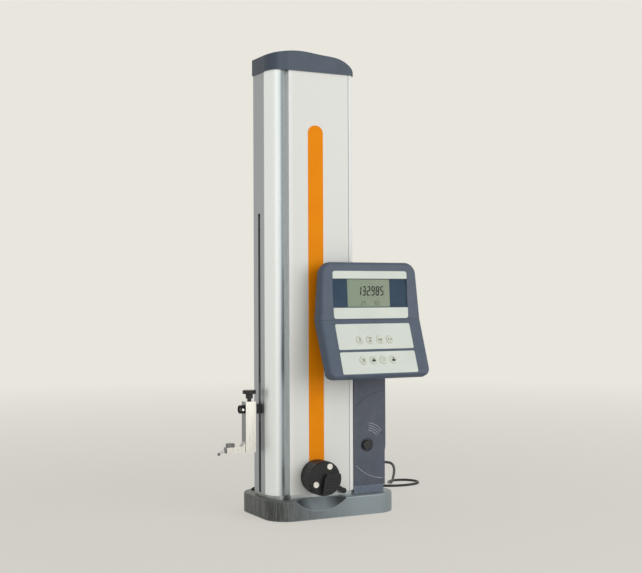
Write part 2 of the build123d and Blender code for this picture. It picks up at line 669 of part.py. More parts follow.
# ---------------------------------------------------------------- side housing
waist_z = start_height + 3.0
with BuildPart() as side_housing:
    with BuildSketch(Plane.XZ.offset(-housing_front)):
        with BuildLine():
            Polyline((housing_x0, base_height + plinth_height),
                     (housing_x1 - housing_waist, base_height + plinth_height),
                     (housing_x1 - housing_waist, waist_z - 15), (housing_x1, waist_z),
                     (housing_x1, housing_top), (housing_x0, housing_top), close=True)
        make_face()
    extrude(amount=-(housing_depth - housing_wall))
    fillet(side_housing.edges().filter_by(Axis.Z).group_by(Axis.Y)[0].group_by(Axis.X)[-1], 5.0)
    # cavity, open at the back
    with BuildSketch(Plane.XZ.offset(-(housing_front + housing_wall))):
        with Locations(((housing_x0 + housing_x1 - housing_waist) / 2,
                        (base_height + plinth_height + housing_top) / 2)):
            Rectangle(housing_width - housing_waist - 2 * housing_wall,
                      housing_top - base_height - plinth_height - 2 * housing_wall)
    extrude(amount=-housing_depth, mode=Mode.SUBTRACT)
    # push-button hole
    start_x = housing_x0 + start_from_left
    with Locations(Plane((start_x, housing_front, start_height), z_dir=(0, -1, 0))):
        Hole(radius=start_radius + 0.25, depth=housing_wall + 1)
    # round moulded field, its corner louvres and the dish round the push button
    with BuildSketch(Plane((housing_x1 - 4.5, housing_front, start_height + 15.8),
                           x_dir=(1, 0, 0), z_dir=(0, -1, 0))):
        Circle(field_radius)
        Circle(field_radius - 1.4, mode=Mode.SUBTRACT)
    extrude(amount=-0.8, mode=Mode.SUBTRACT)
    with BuildSketch(Plane((start_x, housing_front, start_height), x_dir=(1, 0, 0), z_dir=(0, -1, 0))):
        for ring in reversed(louvre_rings):
            Circle(ring + 0.7)
            Circle(ring - 0.7, mode=Mode.SUBTRACT)
        with BuildLine():
            Polyline((0, 0), (80 * cos(radians(35)), 80 * sin(radians(35))),
                     (80 * cos(radians(85)), 80 * sin(radians(85))), close=True)
        make_face(mode=Mode.INTERSECT)
        Circle(start_radius + 4.0)
    extrude(amount=-0.8, mode=Mode.SUBTRACT)
side_housing.part.label = "side_housing"

with BuildPart() as housing_plinth:
    with BuildSketch(Plane.XY.offset(base_height)):
        with Locations((housing_x0, housing_front)):
            Rectangle(housing_width - housing_waist - 1.5, housing_depth,
                      align=(Align.MIN, Align.MIN))
    extrude(amount=plinth_height)
    fillet(housing_plinth.edges().filter_by(Axis.Z).group_by(Axis.X)[-1], 4.0)
housing_plinth.part.label = "housing_plinth"

with BuildPart() as housing_cover:
    with BuildSketch(Plane.XZ.offset(-(housing_back - housing_wall))):
        with BuildLine():
            Polyline((housing_x0, base_height + plinth_height),
                     (housing_x1 - housing_waist, base_height + plinth_height),
                     (housing_x1 - housing_waist, waist_z - 15), (housing_x1, waist_z),
                     (housing_x1, housing_top), (housing_x0, housing_top), close=True)
        make_face()
    extrude(amount=-housing_wall)
    # cooling slots
    with BuildSketch(Plane.XZ.offset(-housing_back)):
        with Locations(((housing_x0 + housing_x1) / 2, housing_top - 60)):
            with GridLocations(0, 7.0, 1, 6):
                SlotOverall(34, 2.4)
    extrude(amount=housing_wall, mode=Mode.SUBTRACT)
housing_cover.part.label = "housing_cover"

with BuildPart() as start_button:
    with BuildSketch(Plane.XZ.offset(-housing_front)):
        with Locations((start_x, start_height)):
            Circle(start_radius)
    extrude(amount=3.6)
    chamfer(start_button.edges().group_by(Axis.Y)[0], 1.0)
    with BuildSketch(Plane.XZ.offset(-housing_front)):
        with Locations((start_x, start_height)):
            Circle(start_radius)
    extrude(amount=-(housing_wall + 1.0))
start_button.part.label = "start_button"

inside_x = (housing_x0 + housing_x1 - housing_waist) / 2
inside_y = housing_front + housing_wall
with BuildPart() as battery_pack:
    with Locations((inside_x, housing_back - housing_wall - 4, base_height + plinth_height
                    + housing_wall)):
        Box(battery_width, battery_depth, battery_height, align=(Align.CENTER, Align.MAX, Align.MIN))
    fillet(battery_pack.edges().filter_by(Axis.Z), 4.0)
battery_pack.part.label = "battery_pack"

with BuildPart() as air_pump:
    with Locations((inside_x, housing_back - housing_wall - pump_radius - 6.0, base_height
                    + plinth_height + housing_wall + battery_height)):
        Cylinder(radius=pump_radius, height=pump_height,
                 align=(Align.CENTER, Align.CENTER, Align.MIN))
        Cylinder(radius=pump_stub, height=pump_height + 10,
                 align=(Align.CENTER, Align.CENTER, Align.MIN))
air_pump.part.label = "air_pump"

# ---------------------------------------------------------------- console
mitre = (display_tilt + keypad_tilt) / 2
half = console_width / 2


def console_slab(tilt, length, taper, corner, edge, depth, thickness, lower):
    """One leaf of the console, cut at the mitre where the two leaves meet."""
    sign = -1 if lower else 1
    end, lap = half - taper, 8.0
    wide = half + taper * lap / length
    out = face_plane(tilt).z_dir
    with BuildPart() as slab:
        with BuildSketch(face_plane(tilt, depth=depth)):
            with BuildLine():
                Polyline((-wide, -sign * lap), (-end, sign * length), (end, sign * length),
                         (wide, -sign * lap), close=True)
            make_face()
        extrude(amount=-thickness)
        corners = [e for e in slab.edges() if abs(e.tangent_at(0).dot(out)) > 0.999]
        corners = sorted(corners, key=lambda e: -sign * e.center().Z)[:2]
        fillet(corners, corner)
        if edge:
            front = [f for f in slab.faces() if f.normal_at().dot(out) > 0.999][0]
            lap_end = sorted(front.edges(), key=lambda e: sign * e.center().Z)[0]
            fillet([e for e in front.edges() if e != lap_end], edge)
        cut = Plane(origin=(console_x, seam_y, seam_height - sign * -seam_gap / 2),
                    x_dir=(1, 0, 0), z_dir=(0, sin(radians(mitre)), cos(radians(mitre))))
        split(bisect_by=cut, keep=Keep.BOTTOM if lower else Keep.TOP)
    return slab.part


top_strip = (78.2, 66.0)
window = (65.5, 20.4)
low_strip = (19.0, 1.6)
keys_upper, keys_lower = (-7.4, -50.0), (-54.3, -90.4)
key_rows = (-34.3, -68.2)
pocket = plate_thick - plate_proud
lcd_width, lcd_x = 78.0, -2.0
lcd_deep = 6.0

with BuildPart() as display_case:
    add(console_slab(display_tilt, display_length, console_taper, 20.0, 6.0, 0.0, console_case,
                     False))
    with BuildSketch(face_plane(display_tilt)):
        with Locations((0, (top_strip[0] + low_strip[1]) / 2)):
            Rectangle(plate_width + 0.4, top_strip[0] - low_strip[1] + 0.4)
    extrude(amount=-pocket, mode=Mode.SUBTRACT)
    with BuildSketch(face_plane(display_tilt, depth=pocket)):
        with Locations((0, (window[0] + window[1]) / 2)):
            Rectangle(plate_width + 0.4, window[0] - window[1] + 0.4)
    extrude(amount=-1.4, mode=Mode.SUBTRACT)
    with BuildSketch(face_plane(display_tilt, depth=pocket)):
        with Locations((lcd_x, (window[0] + window[1]) / 2)):
            Rectangle(lcd_width + 0.4, window[0] - window[1] - 0.4)
    extrude(amount=-lcd_deep, mode=Mode.SUBTRACT)
display_case.part.label = "display_case"

with BuildPart() as keypad_case:
    add(console_slab(keypad_tilt, keypad_length, 0.0, 13.0, 6.0, 0.0, console_case, True))
    for high, low in (keys_upper, keys_lower):
        with BuildSketch(face_plane(keypad_tilt)):
            with Locations((0, (high + low) / 2)):
                Rectangle(plate_width + 0.4, high - low + 0.4)
        extrude(amount=-pocket, mode=Mode.SUBTRACT)
    with BuildSketch(face_plane(keypad_tilt, depth=pocket)):
        with Locations(*[(key_shift, row) for row in key_rows]):
            with GridLocations(key_pitch, 0, 4, 1):
                Circle(key_radius + 0.25)
    extrude(amount=-4.0, mode=Mode.SUBTRACT)
keypad_case.part.label = "keypad_case"

with BuildPart() as console_rear:
    add(console_slab(display_tilt, display_length - 3, console_taper + 3, 17.0, 0.0, console_case,
                     console_back, False))
    add(console_slab(keypad_tilt, keypad_length - 3, 3.0, 10.0, 0.0, console_case,
                     console_back, True))
    # hinge lug
    lug_x = (housing_x0 + housing_x1) / 2
    lug_width = 22.0
    back_y = seam_y + (console_case + console_back) * 0.97
    with BuildSketch(Plane.YZ.offset(lug_x - lug_width / 2)):
        with Locations((hinge_y, hinge_z)):
            Circle(hinge_boss_radius)
        with Locations((back_y - 2.5, hinge_z)):
            Rectangle(hinge_y - back_y + 2.5, 2 * hinge_boss_radius - 3,
                      align=(Align.MIN, Align.CENTER))
        with Locations((hinge_y, hinge_z)):
            Circle(hinge_radius + shaft_clear, mode=Mode.SUBTRACT)
    extrude(amount=lug_width)
console_rear.part.label = "console_rear"


def front_plate(tilt, high, low, thickness, depth, corners=0.0):
    """Thin cover plate that lies in its pocket on a console leaf."""
    with BuildPart() as plate:
        with BuildSketch(face_plane(tilt, depth=depth)):
            with Locations((0, (high + low) / 2)):
                if corners:
                    RectangleRounded(plate_width, high - low, corners)
                else:
                    Rectangle(plate_width, high - low)
        extrude(amount=-thickness)
    return plate.part


with BuildPart() as display_plates:
    for (high, low), rounded in ((top_strip, -2), (low_strip, 0)):
        plate = front_plate(display_tilt, high, low, plate_thick, -plate_proud)
        out = face_plane(display_tilt).z_dir
        ends = sorted([e for e in plate.edges() if abs(e.tangent_at(0).dot(out)) > 0.999],
                      key=lambda e: e.center().Z)
        add(plate.fillet(4.0, ends[-2:] if rounded else ends[:2]))
display_plates.part.label = "display_plates"

with BuildPart() as display_window:
    add(front_plate(display_tilt, *window, 1.4, pocket))
display_window.part.label = "display_window"

with BuildPart() as lcd_module:
    with BuildSketch(face_plane(display_tilt, depth=pocket + 1.5)):
        with Locations((lcd_x, (window[0] + window[1]) / 2)):
            Rectangle(lcd_width, window[0] - window[1] - 0.8)
    extrude(amount=-(lcd_deep - 1.6))
lcd_module.part.label = "lcd_module"

with BuildPart() as key_plates:
    for high, low in (keys_upper, keys_lower):
        add(front_plate(keypad_tilt, high, low, plate_thick, -plate_proud, 2.5))
    with BuildSketch(face_plane(keypad_tilt, depth=-plate_proud)):
        with Locations(*[(key_shift, row) for row in key_rows]):
            with GridLocations(key_pitch, 0, 4, 1):
                Circle(key_radius + 0.25)
    extrude(amount=-plate_thick, mode=Mode.SUBTRACT)
key_plates.part.label = "key_plates"

keys = []
key_spots = [(key_shift + key_pitch * (i - 1.5), row) for row in key_rows for i in range(4)]
for number, (x, y) in enumerate(key_spots, start=1):
    with BuildPart() as key:
        with BuildSketch(face_plane(keypad_tilt, depth=-(plate_proud + key_proud))):
            with Locations((x, y)):
                Circle(key_radius)
        extrude(amount=-(key_proud + plate_thick + 2.0))
        chamfer(key.edges().group_by(Axis(origin=(0, 0, 0), direction=face_plane(
            keypad_tilt).z_dir))[-1], 0.5)
    key.part.label = f"key_{number}"
    keys.append(key)

# ---------------------------------------------------------------- console hinge
ear_gap = 0.5
ear_thick = 4.0
with BuildPart() as console_bracket:
    with BuildSketch(Plane.XZ.offset(-housing_front)):
        with Locations((lug_x, hinge_z - 4)):
            RectangleRounded(lug_width + 2 * (ear_gap + ear_thick) + 10, bracket_height, 3.0)
    extrude(amount=bracket_thick)
    for side in (-1, 1):
        inner = lug_x + side * (lug_width / 2 + ear_gap)
        with BuildSketch(Plane.YZ.offset(inner)):
            with Locations((hinge_y, hinge_z)):
                Circle(hinge_boss_radius)
            with Locations((hinge_y, hinge_z)):
                Rectangle(housing_front - bracket_thick - hinge_y + 0.5, 2 * hinge_boss_radius,
                          align=(Align.MIN, Align.CENTER))
            with Locations((hinge_y, hinge_z)):
                Circle(hinge_radius, mode=Mode.SUBTRACT)
        extrude(amount=side * ear_thick)
console_bracket.part.label = "console_bracket"

with BuildPart() as hinge_pin:
    hinge_length = lug_width + 2 * (ear_gap + ear_thick)
    with Locations(Plane((lug_x, hinge_y, hinge_z), z_dir=(1, 0, 0))):
        Cylinder(radius=hinge_radius, height=hinge_length)
        with Locations((0, 0, hinge_length / 2)):
            Cylinder(radius=hinge_radius + 2, height=2.0, align=(Align.CENTER, Align.CENTER, Align.MIN))
hinge_pin.part.label = "hinge_pin"

# ---------------------------------------------------------------- cord
gland_x, gland_y, gland_z = housing_x1 - housing_waist, 0.0, 71.0
gland_flange = 3.0
with BuildPart() as cord_gland:
    with BuildSketch(Plane((gland_x, gland_y, gland_z), x_dir=(0, 1, 0), z_dir=(1, 0, 0))):
        Circle(gland_radius)
    extrude(amount=gland_flange)
    with BuildSketch(Plane((gland_x + gland_flange, gland_y, gland_z),
                           x_dir=(0, 1, 0), z_dir=(1, 0, 0))):
        Circle(0.7 * gland_radius)
    with BuildSketch(Plane((gland_x + gland_length, gland_y, gland_z),
                           x_dir=(0, 1, 0), z_dir=(1, 0, 0))):
        Circle(cord_radius + 0.8)
    loft()
cord_gland.part.label = "cord_gland"

cord_start = (gland_x + gland_length, gland_y, gland_z)
route = [cord_start, (139, 2.5, 69.5), (153, 14, 63), (167, 33, 53), (180, 55, 41.5),
         (194, 82, 28.5), (209, 110, 17), (222, 137, 9), (234, 163, 4.4), (243, 184, 2.6),
         (260, 195, 2.4), (279.5, 193, 2.5), (293.5, 178.5, 2.4), (295, 158.5, 2.5),
         (283, 142, 2.4), (264, 135.5, 2.5), (243, 135, 2.4), (222, 141, 2.5), (205, 153, 2.4),
         (194.5, 172, 2.5), (187, 195, 2.4), (171, 213, 2.5), (148, 223, 2.4), (120, 227.5, 2.5),
         (92, 227, 2.4), (68, 225, 2.5)]
coil_x, coil_y = 58.0, 194.0


def cord_tube(points):
    """Round tube along straight runs joined by arcs as large as the runs allow."""
    vectors = [Vector(*p) for p in points]
    radii = []
    for before, here, after in zip(vectors, vectors[1:], vectors[2:]):
        run_in, run_out = here - before, after - here
        turn = radians(run_in.get_angle(run_out))
        radii.append(0.45 * min(run_in.length, run_out.length) / tan(turn / 2))
    with BuildPart() as tube:
        with BuildLine():
            path = FilletPolyline(*points, radius=radii)
        with BuildSketch(Plane(origin=path @ 0, z_dir=path % 0)):
            Circle(cord_radius)
        sweep()
    smallest = min(radii)
    section = pi * cord_radius ** 2 * path.length
    print(f"cord: {path.length:.0f} mm, smallest radius {smallest:.1f},",
          f"volume ratio {tube.part.volume / section:.4f}")
    return tube.part


with BuildPart() as mains_cord:
    add(cord_tube(route))
mains_cord.part.label = "mains_cord"

with BuildPart() as cord_coil:
    with BuildSketch():
        with Locations((coil_x, coil_y)):
            Circle(coil_radius + coil_width / 2)
            Circle(coil_radius - coil_width / 2, mode=Mode.SUBTRACT)
    extrude(amount=coil_height)
    chamfer(cord_coil.edges(), 2.0)
cord_coil.part.label = "cord_coil"

plug_x, plug_y, plug_z = 50.0, 95.0, 8.0
outer_turn = coil_radius + coil_width / 2 - cord_radius
tail = [(coil_x - outer_turn, coil_y - 10, 2.4), (25.5, 163, 2.5), (22.5, 143, 2.6),
        (22.5, 124, 3.6), (30, 106, 5.8), (plug_x + 2, plug_y, plug_z)]
with BuildPart() as cord_tail:
    add(cord_tube(tail))
cord_tail.part.label = "cord_tail"

with BuildPart() as plug_body:
    with BuildSketch(Plane((plug_x + 2, plug_y, plug_z), x_dir=(0, 1, 0), z_dir=(1, 0, 0))):
        RectangleRounded(8, 8, 3)
    with BuildSketch(Plane((plug_x + 14, plug_y, plug_z), x_dir=(0, 1, 0), z_dir=(1, 0, 0))):
        RectangleRounded(20, 13, 4)
    loft()
    with BuildSketch(Plane((plug_x + 14, plug_y, plug_z), x_dir=(0, 1, 0), z_dir=(1, 0, 0))):
        RectangleRounded(20, 13, 4)
    extrude(amount=22)
    with BuildSketch(Plane((plug_x + 36, plug_y, plug_z), x_dir=(0, 1, 0), z_dir=(1, 0, 0))):
        with GridLocations(pin_spacing, 0, 2, 1):
            Circle(pin_radius)
    extrude(amount=pin_length)
plug_body.part.label = "plug_body"

# ---------------------------------------------------------------- write
pieces = [base_casting, column_plinth, column_housing, front_stripe, top_cap, guide_column,
          scale_strip, column_head, idler_pulley, drive_pulley, drive_belt,
          drive_shaft, shaft_bush, shaft_bearing, clamp_lever, handwheel,
          wheel_screws, carriage_frame, roller_pins, *rollers, reading_head,
          carriage_arm, holder_shaft, probe_holder, clamp_knob, ring_nut, insert_screw, stylus,
          counterweight, side_housing, housing_plinth, housing_cover, start_button, battery_pack,
          air_pump, display_case, keypad_case, console_rear, display_plates,
          display_window, lcd_module, key_plates, *keys, console_bracket, hinge_pin, cord_gland,
          mains_cord, cord_coil, cord_tail, plug_body]
for piece in pieces:
    export_step(piece.part, f"parts/{piece.part.label}.step")
print(len(pieces), "pieces")
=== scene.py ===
"""Electronic height gauge, dressed over its fixed frame. Metres; +X right, +Y back, +Z up."""
import bpy, bmesh
from math import cos, pi, radians, sin
from mathutils import Matrix, Vector


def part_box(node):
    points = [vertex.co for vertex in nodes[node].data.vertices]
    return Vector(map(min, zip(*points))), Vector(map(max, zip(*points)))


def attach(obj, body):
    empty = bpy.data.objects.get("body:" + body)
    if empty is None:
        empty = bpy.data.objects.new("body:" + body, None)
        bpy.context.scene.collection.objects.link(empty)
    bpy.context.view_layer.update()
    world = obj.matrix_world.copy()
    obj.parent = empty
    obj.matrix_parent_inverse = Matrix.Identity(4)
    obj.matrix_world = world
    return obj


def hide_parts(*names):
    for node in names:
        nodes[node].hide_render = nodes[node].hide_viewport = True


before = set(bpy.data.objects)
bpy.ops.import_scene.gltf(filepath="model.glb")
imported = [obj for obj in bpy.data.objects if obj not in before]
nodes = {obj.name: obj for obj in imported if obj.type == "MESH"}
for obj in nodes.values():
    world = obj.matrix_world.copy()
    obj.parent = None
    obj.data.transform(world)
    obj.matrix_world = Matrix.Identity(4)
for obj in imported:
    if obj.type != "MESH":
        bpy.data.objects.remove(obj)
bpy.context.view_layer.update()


# ---- Paper sweep, soft boxes and camera
# The gauge stands on a wide roll of warm white paper. A large soft box at the front right and a
# weaker one beside the camera light it, and a white room fills the shadows.
def linear(code):
    """sRGB hex colour as linear RGBA."""
    parts = [int(code[i:i + 2], 16) / 255 for i in (1, 3, 5)]
    return [c / 12.92 if c <= 0.04045 else ((c + 0.055) / 1.055) ** 2.4 for c in parts] + [1.0]


def node(tree, kind, inputs=(), **settings):
    """Adds a shader node; inputs maps a socket to a value or to the output that feeds it."""
    made = tree.nodes.new(kind)
    for key, value in settings.items():
        setattr(made, key, value)
    for key, value in dict(inputs).items():
        if isinstance(value, bpy.types.NodeSocket):
            tree.links.new(made.inputs[key], value)
        else:
            made.inputs[key].default_value = value
    return made


def new_material(name, colour, roughness, metallic=0.0):
    """Material with a Principled shader; returns the material, its node tree and the shader."""
    material = bpy.data.materials.new(name)
    material.use_nodes = True
    shader = material.node_tree.nodes["Principled BSDF"]
    shader.inputs["Base Color"].default_value = linear(colour)
    shader.inputs["Roughness"].default_value = roughness
    shader.inputs["Metallic"].default_value = metallic
    return material, material.node_tree, shader


def new_piece(name, bm, material, body=None):
    """Turns a bmesh into a piece that rides on a body; a piece without one is staging."""
    mesh = bpy.data.meshes.new(name)
    bm.to_mesh(mesh)
    bm.free()
    mesh.materials.append(material)
    piece = bpy.data.objects.new(name, mesh)
    bpy.context.scene.collection.objects.link(piece)
    if body:
        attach(piece, body)
    return piece


def backdrop_rays(tree):
    """1 for the rays that show the backdrop: the camera's own, mirrored and refracted ones."""
    ray = node(tree, "ShaderNodeLightPath")
    mirrored = node(tree, "ShaderNodeMath", {0: ray.outputs["Is Glossy Ray"],
                                             1: ray.outputs["Is Transmission Ray"]},
                    operation="MAXIMUM")
    return node(tree, "ShaderNodeMath", {0: ray.outputs["Is Camera Ray"], 1: mirrored.outputs[0]},
                operation="MAXIMUM").outputs[0]


backdrop_tone = linear("#e9e6de")
sweep_paper, tree, shader = new_material("warm white paper", "#dcd9d2", 0.9)
# the paper goes over to the backdrop's own tone between 0.5 and 3 m from the gauge
place = node(tree, "ShaderNodeTexCoord")
away = node(tree, "ShaderNodeVectorMath", {0: place.outputs["Object"]}, operation="LENGTH")
fade = node(tree, "ShaderNodeMapRange", {"Value": away.outputs["Value"], "From Min": 0.5,
                                         "From Max": 3.0, "To Min": 0.55, "To Max": 1.0})
share = node(tree, "ShaderNodeMath", {0: fade.outputs[0], 1: backdrop_rays(tree)},
             operation="MULTIPLY")
tone = node(tree, "ShaderNodeEmission", {"Color": backdrop_tone, "Strength": 1.0})
paper = node(tree, "ShaderNodeMixShader", {0: share.outputs[0], 1: shader.outputs[0],
                                           2: tone.outputs[0]})
tree.links.new(tree.nodes["Material Output"].inputs["Surface"], paper.outputs[0])
bm = bmesh.new()
bmesh.ops.create_grid(bm, x_segments=1, y_segments=1, size=8.0)
new_piece("paper_sweep", bm, sweep_paper)

room = bpy.data.worlds.new("white room")
bpy.context.scene.world = room
room.use_nodes = True
tree = room.node_tree
tree.nodes["Background"].inputs["Color"].default_value = linear("#ffffff")
tree.nodes["Background"].inputs["Strength"].default_value = 0.48
backdrop = node(tree, "ShaderNodeBackground", {"Color": backdrop_tone, "Strength": 1.0})
mixed = node(tree, "ShaderNodeMixShader", {0: backdrop_rays(tree),
                                           1: tree.nodes["Background"].outputs[0],
                                           2: backdrop.outputs[0]})
tree.links.new(tree.nodes["World Output"].inputs["Surface"], mixed.outputs[0])


def soft_box(name, place, size, power):
    """Square lamp aimed at the middle of the gauge."""
    lamp = bpy.data.lights.new(name, "AREA")
    lamp.size, lamp.energy = size, power
    holder = bpy.data.objects.new(name, lamp)
    bpy.context.scene.collection.objects.link(holder)
    holder.location = place
    aim = Vector((0, 0, 0.35)) - Vector(place)
    holder.rotation_euler = aim.to_track_quat("-Z", "Y").to_euler()


soft_box("front_right_box", (1.3, -2.5, 0.5), 3.0, 46)
soft_box("camera_side_box", (-1.5, -2.6, 0.8), 2.4, 9)

yaw, pitch, roll = radians(27.21), radians(0.47), radians(-0.23)
forward = Vector((sin(yaw) * cos(pitch), cos(yaw) * cos(pitch), sin(pitch)))
right = Vector((cos(yaw), -sin(yaw), 0))
up = right.cross(forward)
right, up = right * cos(roll) + up * sin(roll), up * cos(roll) - right * sin(roll)
lens = bpy.data.cameras.new("camera")
focal_length_px, frame_width_px = 1166, 642
lens.sensor_width, lens.lens = 36.0, 36.0 * focal_length_px / frame_width_px
camera = bpy.data.objects.new("camera", lens)
bpy.context.scene.collection.objects.link(camera)
camera.matrix_world = Matrix((right, up, -forward)).transposed().to_4x4()
camera.location = (-0.881, -1.728, 0.355)
bpy.context.scene.camera = camera
bpy.context.scene.view_settings.view_transform = "Standard"


# ---- Base casting
# Grey cast iron, milled on its sides and top and sealed with a thin clear lacquer. The finger scoop
# under the handwheel is painted light in its middle and painted shade towards its two ends. Two
# blackened screws close the bores at its back left.
MM = 0.001


def finish(material, *names):
    """Gives CAD nodes their real finish."""
    for name in names:
        skin = nodes[name].data.materials
        skin.clear()
        skin.append(material)


def pattern(tree, size, stretch=(1.0, 1.0, 1.0), detail=3.0):
    """Irregular pattern with features of this size in metres, drawn out by stretch."""
    place = node(tree, "ShaderNodeTexCoord")
    spread = node(tree, "ShaderNodeMapping", {"Vector": place.outputs["Object"], "Scale": stretch})
    return node(tree, "ShaderNodeTexNoise", {"Vector": spread.outputs[0], "Scale": 1 / size,
                                             "Detail": detail}).outputs["Fac"]


def blend(tree, factor, first, second, low=0.3, high=0.7):
    """Goes from one colour to the other as a pattern goes from low to high; returns the colour."""
    share = node(tree, "ShaderNodeMapRange", {"Value": factor, "From Min": low, "From Max": high})
    first, second = [linear(c) if isinstance(c, str) else c for c in (first, second)]
    return node(tree, "ShaderNodeMix", {0: share.outputs[0], 6: first, 7: second},
                data_type="RGBA").outputs[2]


def surface(tree, shader, colour, height, depth, rough_by=None, rough=(0.3, 0.4)):
    """Feeds the shader a colour, a relief of this depth in metres and a roughness that varies."""
    tree.links.new(shader.inputs["Base Color"], colour)
    relief = node(tree, "ShaderNodeBump", {"Height": height, "Distance": depth, "Strength": 1.0})
    tree.links.new(shader.inputs["Normal"], relief.outputs[0])
    varied = node(tree, "ShaderNodeMapRange", {"Value": rough_by or height, "From Min": 0.3,
                                               "From Max": 0.7, "To Min": rough[0],
                                               "To Max": rough[1]})
    tree.links.new(shader.inputs["Roughness"], varied.outputs[0])


def painted_edge_highlight(tree, width):
    """1 on sharp edges, where a highlight is painted, fading out within this width."""
    rounded = node(tree, "ShaderNodeBevel", {"Radius": width}, samples=4)
    flat = node(tree, "ShaderNodeNewGeometry")
    match = node(tree, "ShaderNodeVectorMath", {0: rounded.outputs[0], 1: flat.outputs["Normal"]},
                 operation="DOT_PRODUCT")
    return node(tree, "ShaderNodeMapRange", {"Value": match.outputs["Value"], "From Min": 0.995,
                                             "From Max": 0.85}).outputs[0]


# lacquered iron is dull and slightly mottled, with painted shade that darkens it towards its left
# end; the upright cutter marks are really under 1 mm wide and are drawn coarser, so that they show
base_low, base_high = [Vector(c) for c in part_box("base_casting")]
wheel_low, wheel_high = [Vector(c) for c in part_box("handwheel")]
wheel_axis = (wheel_low + wheel_high) / 2
milled_iron, tree, shader = new_material("milled grey cast iron", "#7b8080", 0.42, 0.45)
streaks = pattern(tree, 1.7 * MM, (1.0, 1.0, 0.06))
place = node(tree, "ShaderNodeTexCoord")
parts = node(tree, "ShaderNodeSeparateXYZ", {0: place.outputs["Object"]})
# painted shade: the iron is coloured darker towards the base's left end and lighter towards its
# right
painted_shade_towards_left = blend(tree, parts.outputs["X"], "#4d4f4e", "#8c989e", base_low.x + 15 * MM,
              base_low.x + 150 * MM)
skin = blend(tree, pattern(tree, 16 * MM, (1.0, 1.0, 0.3)), painted_shade_towards_left, "#8b9294", 0.45, 1.1)
skin = blend(tree, streaks, skin, "#9aa2a3", 0.5, 1.0)
# the scoop is cut with a ball of 78.1 mm radius, whose middle lies in front of the base
scoop_middle = Vector((wheel_axis.x, base_low.y - 38.4 * MM, base_high.z + 49.5 * MM))
scoop_reach = 78.4 * MM
reach = node(tree, "ShaderNodeVectorMath", {0: place.outputs["Object"], 1: scoop_middle},
             operation="DISTANCE")
in_scoop = node(tree, "ShaderNodeMath", {0: reach.outputs["Value"], 1: scoop_reach},
                operation="LESS_THAN")
# the scoop is painted light in its middle and painted shade in its two pointed ends
aside = node(tree, "ShaderNodeMath", {0: parts.outputs["X"], 1: wheel_axis.x},
             operation="SUBTRACT")
aside = node(tree, "ShaderNodeMath", {0: aside.outputs[0]}, operation="ABSOLUTE")
scoop_painted_light_and_shade = blend(tree, aside.outputs[0], "#b2c0c5", "#565d60", 12 * MM, 34 * MM)
skin = blend(tree, in_scoop.outputs[0], skin, scoop_painted_light_and_shade, 0.0, 1.0)
# a highlight is painted along the sharp edges, brightest on the scoop's rim
skin = blend(tree, painted_edge_highlight(tree, 1.2 * MM), skin, "#c3caca", 0.2, 0.9)
surface(tree, shader, skin, streaks, 0.02 * MM, pattern(tree, 6 * MM), (0.32, 0.48))
finish(milled_iron, "base_casting")

# blackened steel is nearly black with a soft sheen, and a highlight is painted along its edges
black_steel, tree, shader = new_material("blackened steel", "#1f1f21", 0.38, 0.7)
skin = blend(tree, painted_edge_highlight(tree, 0.3 * MM), "#1f1f21", "#6a6a6c", 0.3, 1.0)
surface(tree, shader, skin, pattern(tree, 0.6 * MM), 0.006 * MM, rough=(0.32, 0.45))


def facing(point, out):
    """Place at a point with z along out."""
    return Matrix.Translation(point) @ Vector(out).to_track_quat("Z", "Y").to_matrix().to_4x4()


def socket_screw(bm, place, radius, height):
    """Chamfered cap screw head with its socket, standing on the place's origin along its z."""
    chamfer, wall, socket_depth = 0.13 * radius, 0.4 * radius, 0.6 * height
    head = bmesh.new()
    bmesh.ops.create_circle(head, cap_ends=True, segments=36, radius=radius)
    grown = bmesh.ops.extrude_face_region(head, geom=list(head.faces))["geom"]
    lid = [f for f in grown if isinstance(f, bmesh.types.BMFace)][0]
    bmesh.ops.translate(head, verts=list(lid.verts), vec=(0, 0, height))
    bmesh.ops.inset_region(head, faces=[lid], thickness=chamfer)
    bmesh.ops.translate(head, verts=list(lid.verts), vec=(0, 0, chamfer))
    bmesh.ops.inset_region(head, faces=[lid], thickness=wall)
    bmesh.ops.translate(head, verts=list(lid.verts), vec=(0, 0, -socket_depth))
    bmesh.ops.recalc_face_normals(head, faces=head.faces)
    bmesh.ops.transform(head, matrix=place, verts=head.verts)
    mesh = bpy.data.meshes.new("screw_head")
    head.to_mesh(mesh)
    head.free()
    bm.from_mesh(mesh)
    bpy.data.meshes.remove(mesh)


bm = bmesh.new()
for from_left, from_back in ((22 * MM, 17 * MM), (28 * MM, 9 * MM)):
    spot = (base_low.x + from_left, base_high.y - from_back, base_high.z)
    socket_screw(bm, facing(spot, (0, 0, 1)), radius=3.0 * MM, height=2.4 * MM)
new_piece("base_screws", bm, black_steel, "base")


# ---- Column foot
# A thin aluminium plate between the base and the extrusion, one millimetre smaller all round, so a
# dark joint line shows under the column.
# clear-anodised aluminium is a satin silver-grey; the die's upright lines are really about 0.2 mm
# wide and are drawn coarser
satin_aluminium, tree, shader = new_material("satin anodised aluminium", "#a9aeae", 0.36, 1.0)
drawn_lines = pattern(tree, 0.7 * MM, (1.0, 1.0, 0.01))
surface(tree, shader, blend(tree, drawn_lines, "#a0a5a5", "#b2b7b7"), drawn_lines, 0.004 * MM,
        rough=(0.3, 0.42))
finish(satin_aluminium, "column_plinth")


